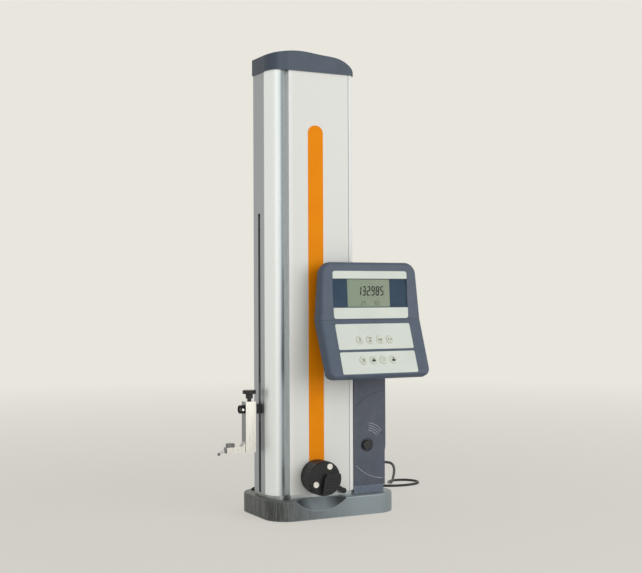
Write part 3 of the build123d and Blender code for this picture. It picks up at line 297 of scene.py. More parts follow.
# ---- Column extrusion
# One aluminium extrusion. Its front panel is powder coated warm white, with a painted highlight
# along its left edge and on its rounded right edge. Its left side behind the small groove is
# coloured a darker grey, painted shade. The long lobe is satin metal with a painted reflection:
# near white on its left, grey down its right flank as painted shade, and bright again at the flute
# beside it.
def beyond(tree, axis, limit, side="GREATER_THAN", also=1.0):
    """1 where the surface lies on one side of a plane and where another mask is 1."""
    place = node(tree, "ShaderNodeTexCoord")
    parts = node(tree, "ShaderNodeSeparateXYZ", {0: place.outputs["Object"]})
    inside = node(tree, "ShaderNodeMath", {0: parts.outputs[axis], 1: limit}, operation=side)
    return node(tree, "ShaderNodeMath", {0: inside.outputs[0], 1: also},
                operation="MULTIPLY").outputs[0]


# bare aluminium is a soft silver with the same upright lines; the coat is warm white, with a
# painted highlight along the panel's left edge and a brighter one on the rounded right edge
extrusion_skin, tree, shader = new_material("aluminium and white powder coat with painted light", "#c4c9c9",
                                            0.34, 1.0)
drawn_lines = pattern(tree, 0.7 * MM, (1.0, 1.0, 0.01))
column_low, column_high = [Vector(c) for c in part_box("column_housing")]
groove_y, panel_left = column_low.y + 31 * MM, column_low.x + 29 * MM
left_side_painted_shade = beyond(tree, "Y", groove_y,
                   also=beyond(tree, "X", column_low.x + 0.5 * MM, "LESS_THAN"))
lobe = beyond(tree, "Y", groove_y, "LESS_THAN", also=beyond(tree, "X", panel_left, "LESS_THAN"))
right_edge_painted_highlight = beyond(tree, "X", column_high.x - 10.5 * MM,
                    also=beyond(tree, "Y", column_low.y + 12 * MM, "LESS_THAN"))
on_panel = beyond(tree, "X", panel_left,
                  also=beyond(tree, "Y", column_low.y + 0.6 * MM, "LESS_THAN"))
coated = node(tree, "ShaderNodeMath", {0: on_panel, 1: right_edge_painted_highlight}, operation="MAXIMUM").outputs[0]
place = node(tree, "ShaderNodeTexCoord")
parts = node(tree, "ShaderNodeSeparateXYZ", {0: place.outputs["Object"]})
# painted reflection and shade on the lobe: near white on its left, grey down its right flank,
# bright again at the flute
painted_lobe_light = blend(tree, parts.outputs["X"], "#f8fdff", "#848d91", column_low.x + 9 * MM,
                column_low.x + 17 * MM)
painted_lobe_light = blend(tree, parts.outputs["X"], painted_lobe_light, "#e2e7e9", column_low.x + 20 * MM,
                column_low.x + 23 * MM)
skin = blend(tree, drawn_lines, "#c3c8c8", "#cfd3d3")
skin = blend(tree, lobe, skin, painted_lobe_light, 0.0, 1.0)
# painted shade: the left side behind the groove is coloured a darker grey
skin = blend(tree, left_side_painted_shade, skin, "#aeb3b9", 0.0, 1.0)
# painted highlight: the coat is lighter along the panel's left edge
coat = blend(tree, parts.outputs["X"], "#fafaf8", "#eeefea", column_low.x + 30 * MM,
             column_low.x + 38 * MM)
skin = blend(tree, coated, skin, coat, 0.0, 1.0)
# painted highlight on the rounded right edge
skin = blend(tree, right_edge_painted_highlight, skin, "#f7f9f7", 0.0, 1.0)
surface(tree, shader, skin, drawn_lines, 0.003 * MM, rough=(0.42, 0.5))
bare = node(tree, "ShaderNodeMath", {0: 1.0, 1: coated}, operation="SUBTRACT")
tree.links.new(shader.inputs["Metallic"], bare.outputs[0])
finish(extrusion_skin, "column_housing")


# ---- Front stripe
# Amber vinyl film, cut to a strip with a rounded top and laid down the middle of the panel.
# Vinyl is evenly coloured and satin, with a faint orange-peel surface.
amber_vinyl, tree, shader = new_material("amber vinyl film", "#fc9500", 0.5)
shader.inputs["Specular IOR Level"].default_value = 0.1
surface(tree, shader, blend(tree, pattern(tree, 30 * MM), "#fb9200", "#fe9800"),
        pattern(tree, 2.5 * MM, detail=1.0), 0.01 * MM, rough=(0.46, 0.56))
finish(amber_vinyl, "front_stripe")


# ---- Top cap
# Injection-moulded ABS, dark blue-grey with a spark-eroded texture, pushed into the extrusion.
# The texture, really about 0.2 mm across and drawn coarser, makes the plastic matt; a highlight is
# painted along its edges.
cap_plastic, tree, shader = new_material("textured blue-grey ABS", "#434f60", 0.5)
skin = blend(tree, pattern(tree, 22 * MM), "#3f4b5c", "#475465")
skin = blend(tree, painted_edge_highlight(tree, 0.8 * MM), skin, "#6f7b8b", 0.3, 1.0)
surface(tree, shader, skin, pattern(tree, 0.5 * MM), 0.02 * MM, rough=(0.44, 0.56))
finish(cap_plastic, "top_cap")


# ---- Guide column, glass scale and head plate
# The guide is a square steel bar, ground and chromed. The glass scale glued down its front has a
# line each millimetre. The milled head plate over them holds the idler's axle.
# ground steel is bright; the wheel's marks run across the bar, really under 0.1 mm wide and drawn
# coarser
ground_steel, tree, shader = new_material("ground steel", "#b9b8b4", 0.26, 1.0)
grinding = pattern(tree, 0.4 * MM, (0.05, 0.05, 1.0))
surface(tree, shader, blend(tree, grinding, "#b0afab", "#c4c3bf"), grinding, 0.003 * MM,
        rough=(0.2, 0.32))
finish(ground_steel, "guide_column")
finish(satin_aluminium, "column_head")

# the chromed glass is a smooth grey, ruled with dark lines
scale_glass, tree, shader = new_material("graduated glass scale", "#a7aca6", 0.12)
place = node(tree, "ShaderNodeTexCoord")
# a wave of the texture is pi / 10 long at a scale of 1, and the lines are 1 mm apart
divisions = node(tree, "ShaderNodeTexWave", {"Vector": place.outputs["Object"],
                                             "Scale": pi / 10 / (1 * MM)}, bands_direction="Z")
surface(tree, shader, blend(tree, divisions.outputs["Fac"], "#2c2e2d", "#a7aca6", 0.15, 0.35),
        pattern(tree, 3 * MM), 0.001 * MM, rough=(0.1, 0.16))
finish(scale_glass, "scale_strip")


# ---- Belt drive
# A black polyurethane toothed belt runs over two flanged pulleys moulded in acetal. The lower
# pulley is pressed on the ground shaft that the handwheel turns in a flanged bush.
# polyurethane is black and rubbery, with little gloss, and has one tooth each 2 mm
belt_rubber, tree, shader = new_material("black polyurethane belt", "#1b1b1d", 0.55)
place = node(tree, "ShaderNodeTexCoord")
teeth = node(tree, "ShaderNodeTexWave", {"Vector": place.outputs["Object"],
                                         "Scale": pi / 10 / (2 * MM)}, bands_direction="Z")
surface(tree, shader, blend(tree, pattern(tree, 4 * MM), "#19191b", "#232325"),
        teeth.outputs["Fac"], 0.3 * MM, pattern(tree, 2 * MM), (0.5, 0.62))
finish(belt_rubber, "drive_belt")

# moulded acetal is black and faintly waxy, with a very fine grain that is drawn coarser
black_acetal, tree, shader = new_material("black moulded acetal", "#252527", 0.46)
skin = blend(tree, pattern(tree, 9 * MM), "#212123", "#2b2b2d")
# a highlight is painted along the sharp edges
skin = blend(tree, painted_edge_highlight(tree, 0.4 * MM), skin, "#56565a", 0.3, 1.0)
surface(tree, shader, skin, pattern(tree, 0.6 * MM), 0.012 * MM, rough=(0.4, 0.52))
finish(black_acetal, "drive_pulley", "idler_pulley", "shaft_bush")
finish(ground_steel, "drive_shaft", "shaft_bearing")


# ---- Clamp lever and handwheel
# Both are moulded in glass-filled nylon, black, with a highlight painted along their edges. A
# finger block stands proud on the wheel, ribbed across, and two bright screws hold the wheel to its
# hub.
# the glass fibres leave the moulded nylon slightly uneven and half matt
wheel_nylon, tree, shader = new_material("black glass-filled nylon", "#1c1b1d", 0.42)
shader.inputs["Specular IOR Level"].default_value = 0.35
skin = blend(tree, pattern(tree, 4 * MM, detail=5.0), "#121113", "#1e1d20")
# a highlight is painted along the sharp edges
skin = blend(tree, painted_edge_highlight(tree, 0.7 * MM), skin, "#77777f", 0.25, 1.0)
surface(tree, shader, skin, pattern(tree, 0.8 * MM), 0.03 * MM, pattern(tree, 4 * MM), (0.32, 0.5))
finish(wheel_nylon, "clamp_lever", "handwheel")

# zinc-plated screws are bright and slightly warm
bright_zinc, tree, shader = new_material("bright zinc-plated steel", "#e6e3dc", 0.28, 1.0)
surface(tree, shader, blend(tree, pattern(tree, 1.5 * MM), "#dcd9d2", "#eeece6"),
        pattern(tree, 0.7 * MM), 0.005 * MM, rough=(0.22, 0.34))
finish(bright_zinc, "wheel_screws")

# half-round ribs cross the finger block and stop short of its rounded edge
top_rib, rib_pitch, wheel_radius, edge_gap = 2.0 * MM, 4.5 * MM, 24.5 * MM, 1.5 * MM
bm = bmesh.new()
for row in range(5):
    drop = top_rib - row * rib_pitch
    end = (wheel_radius ** 2 - drop ** 2) ** 0.5 - edge_gap
    start = max(drop, -20 * MM) * 0.19 + 0.5 * MM    # the block's left edge leans by 0.19
    rib = bmesh.ops.create_cone(bm, cap_ends=True, segments=16, radius1=0.8 * MM, radius2=0.8 * MM,
                                depth=end - start)["verts"]
    middle = Vector((wheel_axis.x + (start + end) / 2, wheel_low.y + 0.35 * MM,
                     wheel_axis.z + drop))
    bmesh.ops.transform(bm, matrix=facing(middle, (1, 0, 0)), verts=rib)
new_piece("finger_ribs", bm, wheel_nylon, "drive")


# ---- Measuring carriage
# A milled aluminium frame, satin anodised, hangs on four small bronze rollers that grip the guide
# column. The reading head on its front looks at the glass scale.
finish(satin_aluminium, "carriage_frame")
finish(ground_steel, "roller_pins")
finish(black_acetal, "reading_head")

# sintered bronze is a dull brown-gold with fine pores, drawn coarser
bronze, tree, shader = new_material("sintered bronze", "#a07a45", 0.38, 1.0)
surface(tree, shader, blend(tree, pattern(tree, 0.5 * MM), "#8a6737", "#b28a52"),
        pattern(tree, 0.3 * MM), 0.01 * MM, rough=(0.32, 0.46))
finish(bronze, "guide_roller_1", "guide_roller_2", "guide_roller_3", "guide_roller_4")

# two small screws go through the head into the frame
head_low, head_high = [Vector(c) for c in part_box("reading_head")]
bm = bmesh.new()
for height in (head_low.z + 3.5 * MM, head_high.z - 3.5 * MM):
    socket_screw(bm, facing(((head_low.x + head_high.x) / 2, head_low.y, height), (0, -1, 0)),
                 radius=1.6 * MM, height=0.8 * MM)
new_piece("head_screws", bm, black_steel, "carriage")


# ---- Counterweight
# A sawn and ground steel block, painted grey against rust, that the belt lifts as the carriage
# goes down. The paint is a thin satin coat.
grey_paint, tree, shader = new_material("grey primer on steel", "#6d7072", 0.5)
skin = blend(tree, pattern(tree, 12 * MM), "#676a6c", "#74777a")
# a highlight is painted along the sharp edges
skin = blend(tree, painted_edge_highlight(tree, 0.8 * MM), skin, "#a5a7a8", 0.3, 1.0)
surface(tree, shader, skin, pattern(tree, 1.2 * MM), 0.03 * MM, rough=(0.44, 0.58))
finish(grey_paint, "counterweight")


# ---- Carriage arm and ring nut
# The arm is a black moulded sleeve that leaves the column through its slot. The blackened ring nut
# on the holder's shaft is knurled, so that two fingers can tighten it.
def knurl(tree, middle, first, second, count):
    """Grooves round an axis through this middle, seen along it by two of the coordinates."""
    place = node(tree, "ShaderNodeTexCoord")
    arm = node(tree, "ShaderNodeVectorMath", {0: place.outputs["Object"], 1: middle},
               operation="SUBTRACT")
    parts = node(tree, "ShaderNodeSeparateXYZ", {0: arm.outputs[0]})
    turn = node(tree, "ShaderNodeMath", {0: parts.outputs[first], 1: parts.outputs[second]},
                operation="ARCTAN2")
    waves = node(tree, "ShaderNodeMath", {0: turn.outputs[0], 1: count}, operation="MULTIPLY")
    return node(tree, "ShaderNodeMath", {0: waves.outputs[0]}, operation="SINE").outputs[0]


finish(black_acetal, "carriage_arm")
nut_low, nut_high = [Vector(c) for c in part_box("ring_nut")]
# blackened steel has a soft sheen, and the knurl's crests wear lighter than its grooves
knurled_steel, tree, shader = new_material("knurled blackened steel", "#232325", 0.36, 0.7)
grip = knurl(tree, (nut_low + nut_high) / 2, "Y", "Z", 36.0)
skin = blend(tree, grip, "#19191b", "#3a3a3d", -0.4, 1.0)
surface(tree, shader, skin, grip, 0.2 * MM, pattern(tree, 1 * MM), (0.3, 0.44))
finish(knurled_steel, "ring_nut")
# a bright grub screw in the nut's front locks it
bm = bmesh.new()
socket_screw(bm, facing(((nut_low.x + nut_high.x) / 2, nut_low.y, (nut_low.z + nut_high.z) / 2),
                        (0, -1, 0)), radius=2.3 * MM, height=0.6 * MM)
new_piece("nut_grub_screw", bm, bright_zinc, "shaft_nut")


# ---- Probe holder, shaft and stylus
# The holder is a fine-milled steel bar with satin chrome plate, clamped on a ground shaft by the
# black knob on top. The stylus is ground steel with a tungsten carbide ball.
# satin chrome is bright, even and slightly warm, with faint upright milling under the plate
satin_chrome, tree, shader = new_material("satin chrome plate", "#dcd9d3", 0.24, 1.0)
milling = pattern(tree, 0.9 * MM, (1.0, 1.0, 0.03))
skin = blend(tree, milling, "#dad8d2", "#e0ddd7")
# the left face is coloured a duller grey, painted shade
place = node(tree, "ShaderNodeTexCoord")
parts = node(tree, "ShaderNodeSeparateXYZ", {0: place.outputs["Normal"]})
skin = blend(tree, parts.outputs["X"], "#8c9094", skin, -0.95, -0.6)
# a highlight is painted along the sharp edges
skin = blend(tree, painted_edge_highlight(tree, 0.5 * MM), skin, "#f4f2ee", 0.3, 1.0)
surface(tree, shader, skin, milling, 0.004 * MM, rough=(0.18, 0.3))
finish(satin_chrome, "probe_holder")
finish(ground_steel, "holder_shaft")

# the shank is bright and ground; the 5 mm carbide ball at its end is a darker, polished grey
ball_radius = 2.5 * MM
ball_middle = Vector(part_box("stylus")[0]) + Vector((ball_radius, ball_radius, ball_radius))
stylus_steel, tree, shader = new_material("ground steel with carbide ball", "#b9b8b4", 0.2, 1.0)
place = node(tree, "ShaderNodeTexCoord")
reach = node(tree, "ShaderNodeVectorMath", {0: place.outputs["Object"], 1: ball_middle},
             operation="DISTANCE")
in_ball = node(tree, "ShaderNodeMath", {0: reach.outputs["Value"], 1: ball_radius + 0.05 * MM},
               operation="LESS_THAN")
skin = blend(tree, pattern(tree, 0.5 * MM), "#b0afab", "#c4c3bf")
surface(tree, shader, blend(tree, in_ball.outputs[0], skin, "#77797c", 0.0, 1.0),
        pattern(tree, 0.4 * MM), 0.002 * MM, rough=(0.12, 0.24))
finish(stylus_steel, "stylus")

# the knob is moulded phenolic: black and glossy on its flutes
black_phenolic, tree, shader = new_material("black phenolic", "#18181a", 0.28)
skin = blend(tree, pattern(tree, 3 * MM, detail=4.0), "#151517", "#212124")
# a highlight is painted along the sharp edges
skin = blend(tree, painted_edge_highlight(tree, 0.5 * MM), skin, "#4a4a4e", 0.3, 1.0)
surface(tree, shader, skin, pattern(tree, 1.5 * MM), 0.01 * MM, rough=(0.24, 0.36))
finish(black_phenolic, "clamp_knob")

# the insert screw has a knurled head with a coin slot, bright on its crests and dark in between
screw_low, screw_high = [Vector(c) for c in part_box("insert_screw")]
coin_screw, tree, shader = new_material("knurled bright steel screw", "#8d8f90", 0.34, 1.0)
grip = knurl(tree, (screw_low + screw_high) / 2, "X", "Y", 40.0)
skin = blend(tree, grip, "#5d5f60", "#a8aaab", -0.6, 0.8)
surface(tree, shader, skin, grip, 0.15 * MM, pattern(tree, 1 * MM), (0.28, 0.42))
finish(coin_screw, "insert_screw")


# ---- Side housing
# A two-part ABS moulding, dark blue-grey, fixed to the column's right side and holding the battery
# and the air pump. It stands on a lighter plinth, and four screws hold its rear cover.
# the moulding's spark-eroded texture is really about 0.3 mm across and is drawn coarser; a
# highlight is painted along its thin raised lines and edges
housing_plastic, tree, shader = new_material("textured slate ABS", "#4c5361", 0.5)
skin = blend(tree, pattern(tree, 14 * MM), "#484f5d", "#525968")
skin = blend(tree, painted_edge_highlight(tree, 0.7 * MM), skin, "#6f7684", 0.25, 1.0)
surface(tree, shader, skin, pattern(tree, 1.0 * MM), 0.05 * MM, rough=(0.42, 0.56))
finish(housing_plastic, "side_housing", "housing_cover")

# the plinth's ABS is smoother and a little lighter, and its edges catch the light
plinth_plastic, tree, shader = new_material("grey ABS plinth", "#657182", 0.45)
skin = blend(tree, pattern(tree, 10 * MM), "#5f6b7c", "#6a7789")
skin = blend(tree, painted_edge_highlight(tree, 0.9 * MM), skin, "#d6dadd", 0.2, 0.9)
surface(tree, shader, skin, pattern(tree, 0.6 * MM), 0.02 * MM, rough=(0.38, 0.5))
finish(plinth_plastic, "housing_plinth")

finish(black_phenolic, "start_button")
finish(satin_aluminium, "air_pump")

# the battery is wrapped in a glossy shrink sleeve
sleeve, tree, shader = new_material("blue-black shrink sleeve", "#20242e", 0.22)
surface(tree, shader, blend(tree, pattern(tree, 8 * MM), "#1c2029", "#262b36"),
        pattern(tree, 6 * MM), 0.15 * MM, rough=(0.18, 0.3))
finish(sleeve, "battery_pack")

cover_low, cover_high = [Vector(c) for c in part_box("housing_cover")]
bm = bmesh.new()
for x in (cover_low.x + 7 * MM, cover_high.x - 11 * MM):
    for z in (cover_low.z + 8 * MM, cover_high.z - 10 * MM):
        socket_screw(bm, facing((x, cover_high.y, z), (0, 1, 0)), radius=2.8 * MM,
                     height=1.2 * MM)
new_piece("cover_screws", bm, black_steel, "base")

# a thin felt ring lies in the dish round the push button
start_low, start_high = [Vector(c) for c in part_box("start_button")]
dish_y = -47.6 * MM                                  # the floor of the dish
start_middle = Vector(((start_low.x + start_high.x) / 2, dish_y, (start_low.z + start_high.z) / 2))
# felt is black and quite matt, with a fibrous surface
felt, tree, shader = new_material("black felt washer", "#1d1e21", 0.9)
surface(tree, shader, blend(tree, pattern(tree, 0.6 * MM, detail=6.0), "#18191b", "#2a2b2f"),
        pattern(tree, 0.4 * MM, detail=6.0), 0.15 * MM, rough=(0.85, 0.95))
ring_radius, felt_thickness = 10.2 * MM, 0.9 * MM
bm = bmesh.new()
ring = bmesh.ops.create_circle(bm, segments=6, radius=felt_thickness / 2)["verts"]
bmesh.ops.translate(bm, verts=ring, vec=(ring_radius, 0, 0))
bmesh.ops.rotate(bm, verts=ring, cent=(0, 0, 0), matrix=Matrix.Rotation(pi / 2, 3, "X"))
bmesh.ops.spin(bm, geom=bm.verts[:] + bm.edges[:], cent=(0, 0, 0), axis=(0, 0, 1), angle=2 * pi,
               steps=64, use_merge=True)
bmesh.ops.scale(bm, vec=(1, 1, 0.5), verts=bm.verts)
bmesh.ops.transform(bm, matrix=facing(start_middle, (0, -1, 0)), verts=bm.verts)
bmesh.ops.recalc_face_normals(bm, faces=bm.faces)
new_piece("button_washer", bm, felt, "base")

# the louvres and the lower part of the round field have thin lips, coloured light as a painted
# highlight along them
highlight_lip_plastic, tree, shader = new_material("slate ABS lips with painted highlight", "#a9afb9", 0.3)
surface(tree, shader, blend(tree, pattern(tree, 3 * MM), "#b3b8c0", "#d9dce1"),
        pattern(tree, 1.0 * MM), 0.01 * MM, rough=(0.26, 0.38))
field_middle = Vector((cover_high.x - 4.5 * MM, start_middle.y, start_middle.z + 15.8 * MM))
bm = bmesh.new()
for middle, radius, first, sweep in ((start_middle, 24, 37, 46), (start_middle, 28, 37, 46),
                                     (start_middle, 32, 37, 46), (start_middle, 36, 37, 46),
                                     (start_middle, 40, 40, 38), (field_middle, 72.3, 222, 46)):
    # radii are in mm; seen from the front, the angles run anticlockwise from the right
    rod = bmesh.ops.create_circle(bm, cap_ends=True, segments=8, radius=0.4 * MM)["verts"]
    bmesh.ops.rotate(bm, verts=rod, cent=(0, 0, 0), matrix=Matrix.Rotation(pi / 2, 3, "X"))
    bmesh.ops.translate(bm, verts=rod, vec=(radius * MM, 0, 0))
    bmesh.ops.rotate(bm, verts=rod, cent=(0, 0, 0), matrix=Matrix.Rotation(radians(first), 3, "Z"))
    lid = list({f for v in rod for f in v.link_faces})
    bmesh.ops.spin(bm, geom=lid, cent=(0, 0, 0), axis=(0, 0, 1), angle=radians(sweep), steps=24)
    loose = [v for v in bm.verts if not v.tag]
    bmesh.ops.transform(bm, matrix=facing(middle, (0, -1, 0)), verts=loose)
    for v in loose:
        v.tag = True
bmesh.ops.recalc_face_normals(bm, faces=bm.faces)
new_piece("louvre_lips", bm, highlight_lip_plastic, "base")


# ---- Console bracket and hinge
# The console tilts on a steel pin in a black moulded bracket. Four small screws hold the bracket to
# the housing's front.
finish(black_acetal, "console_bracket")
finish(ground_steel, "hinge_pin")
bracket_low, bracket_high = [Vector(c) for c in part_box("console_bracket")]
bracket_face = -52 * MM                              # front of the bracket's foot
bm = bmesh.new()
for x in (bracket_low.x + 3.0 * MM, bracket_high.x - 3.0 * MM):
    for z in (bracket_low.z + 4 * MM, bracket_high.z - 4 * MM):
        socket_screw(bm, facing((x, bracket_face, z), (0, -1, 0)), radius=1.7 * MM,
                     height=0.8 * MM)
new_piece("bracket_screws", bm, black_steel, "base")


# ---- Console cases
# Front and rear shells moulded in dark blue-grey ABS; the display leaf stands nearly upright and
# the key leaf slopes towards the hand. The shells are joined by four screws from behind.
# this ABS is finely textured, a bluer slate than the housing, with a highlight painted along its
# edges
console_plastic, tree, shader = new_material("slate blue ABS", "#4c596c", 0.48)
skin = blend(tree, pattern(tree, 24 * MM), "#475568", "#505d70")
skin = blend(tree, painted_edge_highlight(tree, 0.8 * MM), skin, "#5b697e", 0.25, 1.0)
surface(tree, shader, skin, pattern(tree, 0.6 * MM), 0.02 * MM, rough=(0.42, 0.54))
finish(console_plastic, "display_case", "keypad_case", "console_rear")

seam = Vector((50 * MM, -95 * MM, 317 * MM))         # middle of the fold between the leaves
display_tilt, keypad_tilt = radians(4), radians(20)


def on_leaf(tilt, across, up, out):
    """Place on a console leaf's face, in mm across and up from the seam; z points out of it."""
    side, rise, face = (1, 0, 0), (0, sin(tilt), cos(tilt)), (0, -cos(tilt), sin(tilt))
    turned = Matrix((side, rise, face)).transposed().to_4x4()
    return Matrix.Translation(seam) @ turned @ Matrix.Translation(Vector((across, up, out)) * MM)


bm = bmesh.new()
for across, up in ((-52, 58), (52, 58), (-52, 22), (52, 22)):
    socket_screw(bm, on_leaf(display_tilt, across, up, -20.0) @ Matrix.Rotation(pi, 4, "X"),
                 radius=2.8 * MM, height=1.2 * MM)
new_piece("console_screws", bm, black_steel, "console")


# ---- Cover plates
# Two pale strips frame the display and two pale plates carry the keys. They are back-printed
# polycarbonate, evenly coloured and slightly glossy, glued into their pockets.
pale_film, tree, shader = new_material("pale back-printed polycarbonate", "#dfe7de", 0.32)
skin = blend(tree, pattern(tree, 40 * MM), "#dce4db", "#e3eae1")
surface(tree, shader, skin, pattern(tree, 1.2 * MM, detail=1.0), 0.006 * MM, rough=(0.3, 0.4))
finish(pale_film, "display_plates", "key_plates")


# ---- Display
# A clear acrylic window, printed slate blue from behind beside the glass, covers an olive
# liquid-crystal module with dark seven-segment figures.
window_acrylic, tree, shader = new_material("clear acrylic", "#ffffff", 0.06)
shader.inputs["IOR"].default_value = 1.49
shader.inputs["Transmission Weight"].default_value = 1.0
shader.inputs["Specular IOR Level"].default_value = 0.15     # an anti-glare coat
# clear acrylic shows what lies behind it under a faint gloss; so thin a sheet throws no shadow and
# hardly bends a ray, so all shadow rays and most others pass straight through it
ray = node(tree, "ShaderNodeLightPath")
through = node(tree, "ShaderNodeMath", {0: ray.outputs["Is Shadow Ray"], 1: 0.88},
               operation="MAXIMUM")
clear = node(tree, "ShaderNodeBsdfTransparent", {"Color": linear("#f4f6f4")})
passing = node(tree, "ShaderNodeMixShader", {0: through.outputs[0], 1: shader.outputs[0],
                                             2: clear.outputs[0]})
tree.links.new(tree.nodes["Material Output"].inputs["Surface"], passing.outputs[0])
scuffs = pattern(tree, 2 * MM, detail=5.0)
varied = node(tree, "ShaderNodeMapRange", {"Value": scuffs, "From Min": 0.4, "From Max": 0.8,
                                           "To Min": 0.0, "To Max": 0.03})
tree.links.new(shader.inputs["Roughness"], varied.outputs[0])
finish(window_acrylic, "display_window")

# the reflector behind the liquid crystal is a matt olive grey, less green towards the right
lcd_glass, tree, shader = new_material("olive reflective LCD", "#a8b29f", 0.5)
shader.inputs["Specular IOR Level"].default_value = 0.1
place = node(tree, "ShaderNodeTexCoord")
parts = node(tree, "ShaderNodeSeparateXYZ", {0: place.outputs["Object"]})
lcd_low, lcd_high = [Vector(c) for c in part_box("lcd_module")]
skin = blend(tree, parts.outputs["X"], "#a2b09d", "#adb3a2", lcd_low.x, lcd_high.x)
skin = blend(tree, pattern(tree, 3 * MM), skin, "#b6bdad", 0.4, 1.4)
surface(tree, shader, skin, pattern(tree, 0.4 * MM), 0.004 * MM, rough=(0.42, 0.54))
finish(lcd_glass, "lcd_module")


def mark(bm, place, sides, x, y, width, height, turn=0.0, thick=0.04, waist=0.0):
    """Thin printed mark in mm: a regular outline scaled to this size and drawn out at its waist."""
    made = bmesh.ops.create_circle(bm, cap_ends=True, segments=sides, radius=0.5)["verts"]
    if sides == 4:
        bmesh.ops.rotate(bm, verts=made, cent=(0, 0, 0), matrix=Matrix.Rotation(pi / 4, 3, "Z"))
    spans = [max(v.co[i] for v in made) - min(v.co[i] for v in made) for i in (0, 1)]
    bmesh.ops.scale(bm, vec=(width / spans[0], height / spans[1], 1), verts=made)
    for above in (1, -1):
        bmesh.ops.translate(bm, verts=[v for v in made if above * v.co.y > 0.01 * height],
                            vec=(0, above * waist / 2, 0))
    foot = list({f for v in made for f in v.link_faces})
    grown = bmesh.ops.extrude_face_region(bm, geom=foot)["geom"]
    made += [v for v in grown if isinstance(v, bmesh.types.BMVert)]
    bmesh.ops.translate(bm, verts=made[len(made) // 2:], vec=(0, 0, thick))
    bmesh.ops.recalc_face_normals(bm, faces=list({f for v in made for f in v.link_faces}))
    there = place @ Matrix.Translation((x * MM, y * MM, 0)) @ Matrix.Rotation(turn, 4, "Z")
    bmesh.ops.transform(bm, matrix=there @ Matrix.Scale(MM, 4), verts=made)


lit_segments = {"0": "abcdef", "1": "bc", "2": "abdeg", "3": "abcdg", "4": "bcfg", "5": "acdfg",
                "6": "acdefg", "7": "abc", "8": "abcdefg", "9": "abcdfg"}
lean = 0.1                                           # figures lean right by a tenth
glass_face = on_leaf(display_tilt, 0, 0, -2.66)      # just above the module's front


def figure(bm, sign, x, y, height):
    """Seven-segment figure whose lower left corner is at x, y on the display leaf, in mm."""
    half, width, line = height / 2, 0.33 * height, 0.14 * height
    middles = {"a": (width / 2, height), "g": (width / 2, half), "d": (width / 2, 0),
               "f": (0, 1.5 * half), "b": (width, 1.5 * half), "e": (0, 0.5 * half),
               "c": (width, 0.5 * half)}
    for name in lit_segments[sign]:
        across, rise = middles[name]
        flat = name in "adg"
        mark(bm, glass_face, 6, x + across + lean * rise, y + rise, line, line,
             pi / 2 if flat else -lean, 0.02, (width if flat else half) - 1.15 * line)


# lit liquid crystal is nearly black, with a trace of green
figure_black, tree, shader = new_material("dark liquid crystal", "#121510", 0.5)
shader.inputs["Specular IOR Level"].default_value = 0.0
surface(tree, shader, blend(tree, pattern(tree, 1 * MM), "#0e110d", "#161a14"),
        pattern(tree, 0.4 * MM), 0.002 * MM, rough=(0.46, 0.56))
lcd_left, lcd_top = -41.0, 65.1                      # corner of the glass on the leaf, in mm
row_left, pitch = lcd_left + 19.3, 8.3
bm = bmesh.new()
for spot, sign in enumerate("132985"):
    figure(bm, sign, row_left + pitch * spot, lcd_top - 25.6, 13.6)
# the point stands before the fourth figure
mark(bm, glass_face, 12, row_left + pitch * 3 - 1.0, lcd_top - 25.2, 1.7, 1.7, thick=0.02)
new_piece("lcd_figures", bm, figure_black, "console")

# the small row is fainter, because its segments are driven less
figure_faint, tree, shader = new_material("faint liquid crystal", "#4b5245", 0.5)
surface(tree, shader, blend(tree, pattern(tree, 1 * MM), "#464c40", "#50574a"),
        pattern(tree, 0.4 * MM), 0.002 * MM, rough=(0.46, 0.56))
bm = bmesh.new()
for start, signs in ((24.8, "24"), (46.5, "105")):
    for spot, sign in enumerate(signs):
        figure(bm, sign, lcd_left + start + 4.6 * spot, lcd_top - 41.2, 6.0)
new_piece("lcd_small_figures", bm, figure_faint, "console")

# the printed border beside the module hides the case behind the window; seen through the acrylic,
# the ink is an even dark slate without a gloss of its own
border_ink, tree, shader = new_material("slate ink behind acrylic", "#44576e", 0.4)
shader.inputs["Specular IOR Level"].default_value = 0.0
surface(tree, shader, blend(tree, pattern(tree, 18 * MM), "#40536a", "#475b72"),
        pattern(tree, 1 * MM), 0.002 * MM, rough=(0.36, 0.44))
border_middle, border_height = 42.95, 44.9
border_face = on_leaf(display_tilt, 0, 0, -2.57)
bm = bmesh.new()
for left, right in ((-68.3, -41.2), (37.2, 68.3)):
    mark(bm, border_face, 4, (left + right) / 2, border_middle, right - left, border_height,
         thick=0.02)
new_piece("window_border", bm, border_ink, "console")


# ---- Keys
# Eight round keys moulded in cream silicone, each with a small dark printed symbol: edges, bores,
# steps and the like. They rise through the plates and spring back 0.8 mm.
# silicone rubber is evenly coloured and soft-looking, with hardly any gloss
cream_silicone, tree, shader = new_material("cream silicone rubber", "#dedfce", 0.6)
skin = blend(tree, pattern(tree, 5 * MM), "#d9decf", "#e3e8db")
surface(tree, shader, skin, pattern(tree, 0.5 * MM), 0.01 * MM, rough=(0.54, 0.66))
# pad-printed ink is nearly black and a little patchy
key_ink, tree, shader = new_material("dark key ink", "#3a3d39", 0.5)
surface(tree, shader, blend(tree, pattern(tree, 0.8 * MM, detail=5.0), "#23261f", "#3a3d36"),
        pattern(tree, 0.5 * MM), 0.004 * MM, rough=(0.45, 0.6))
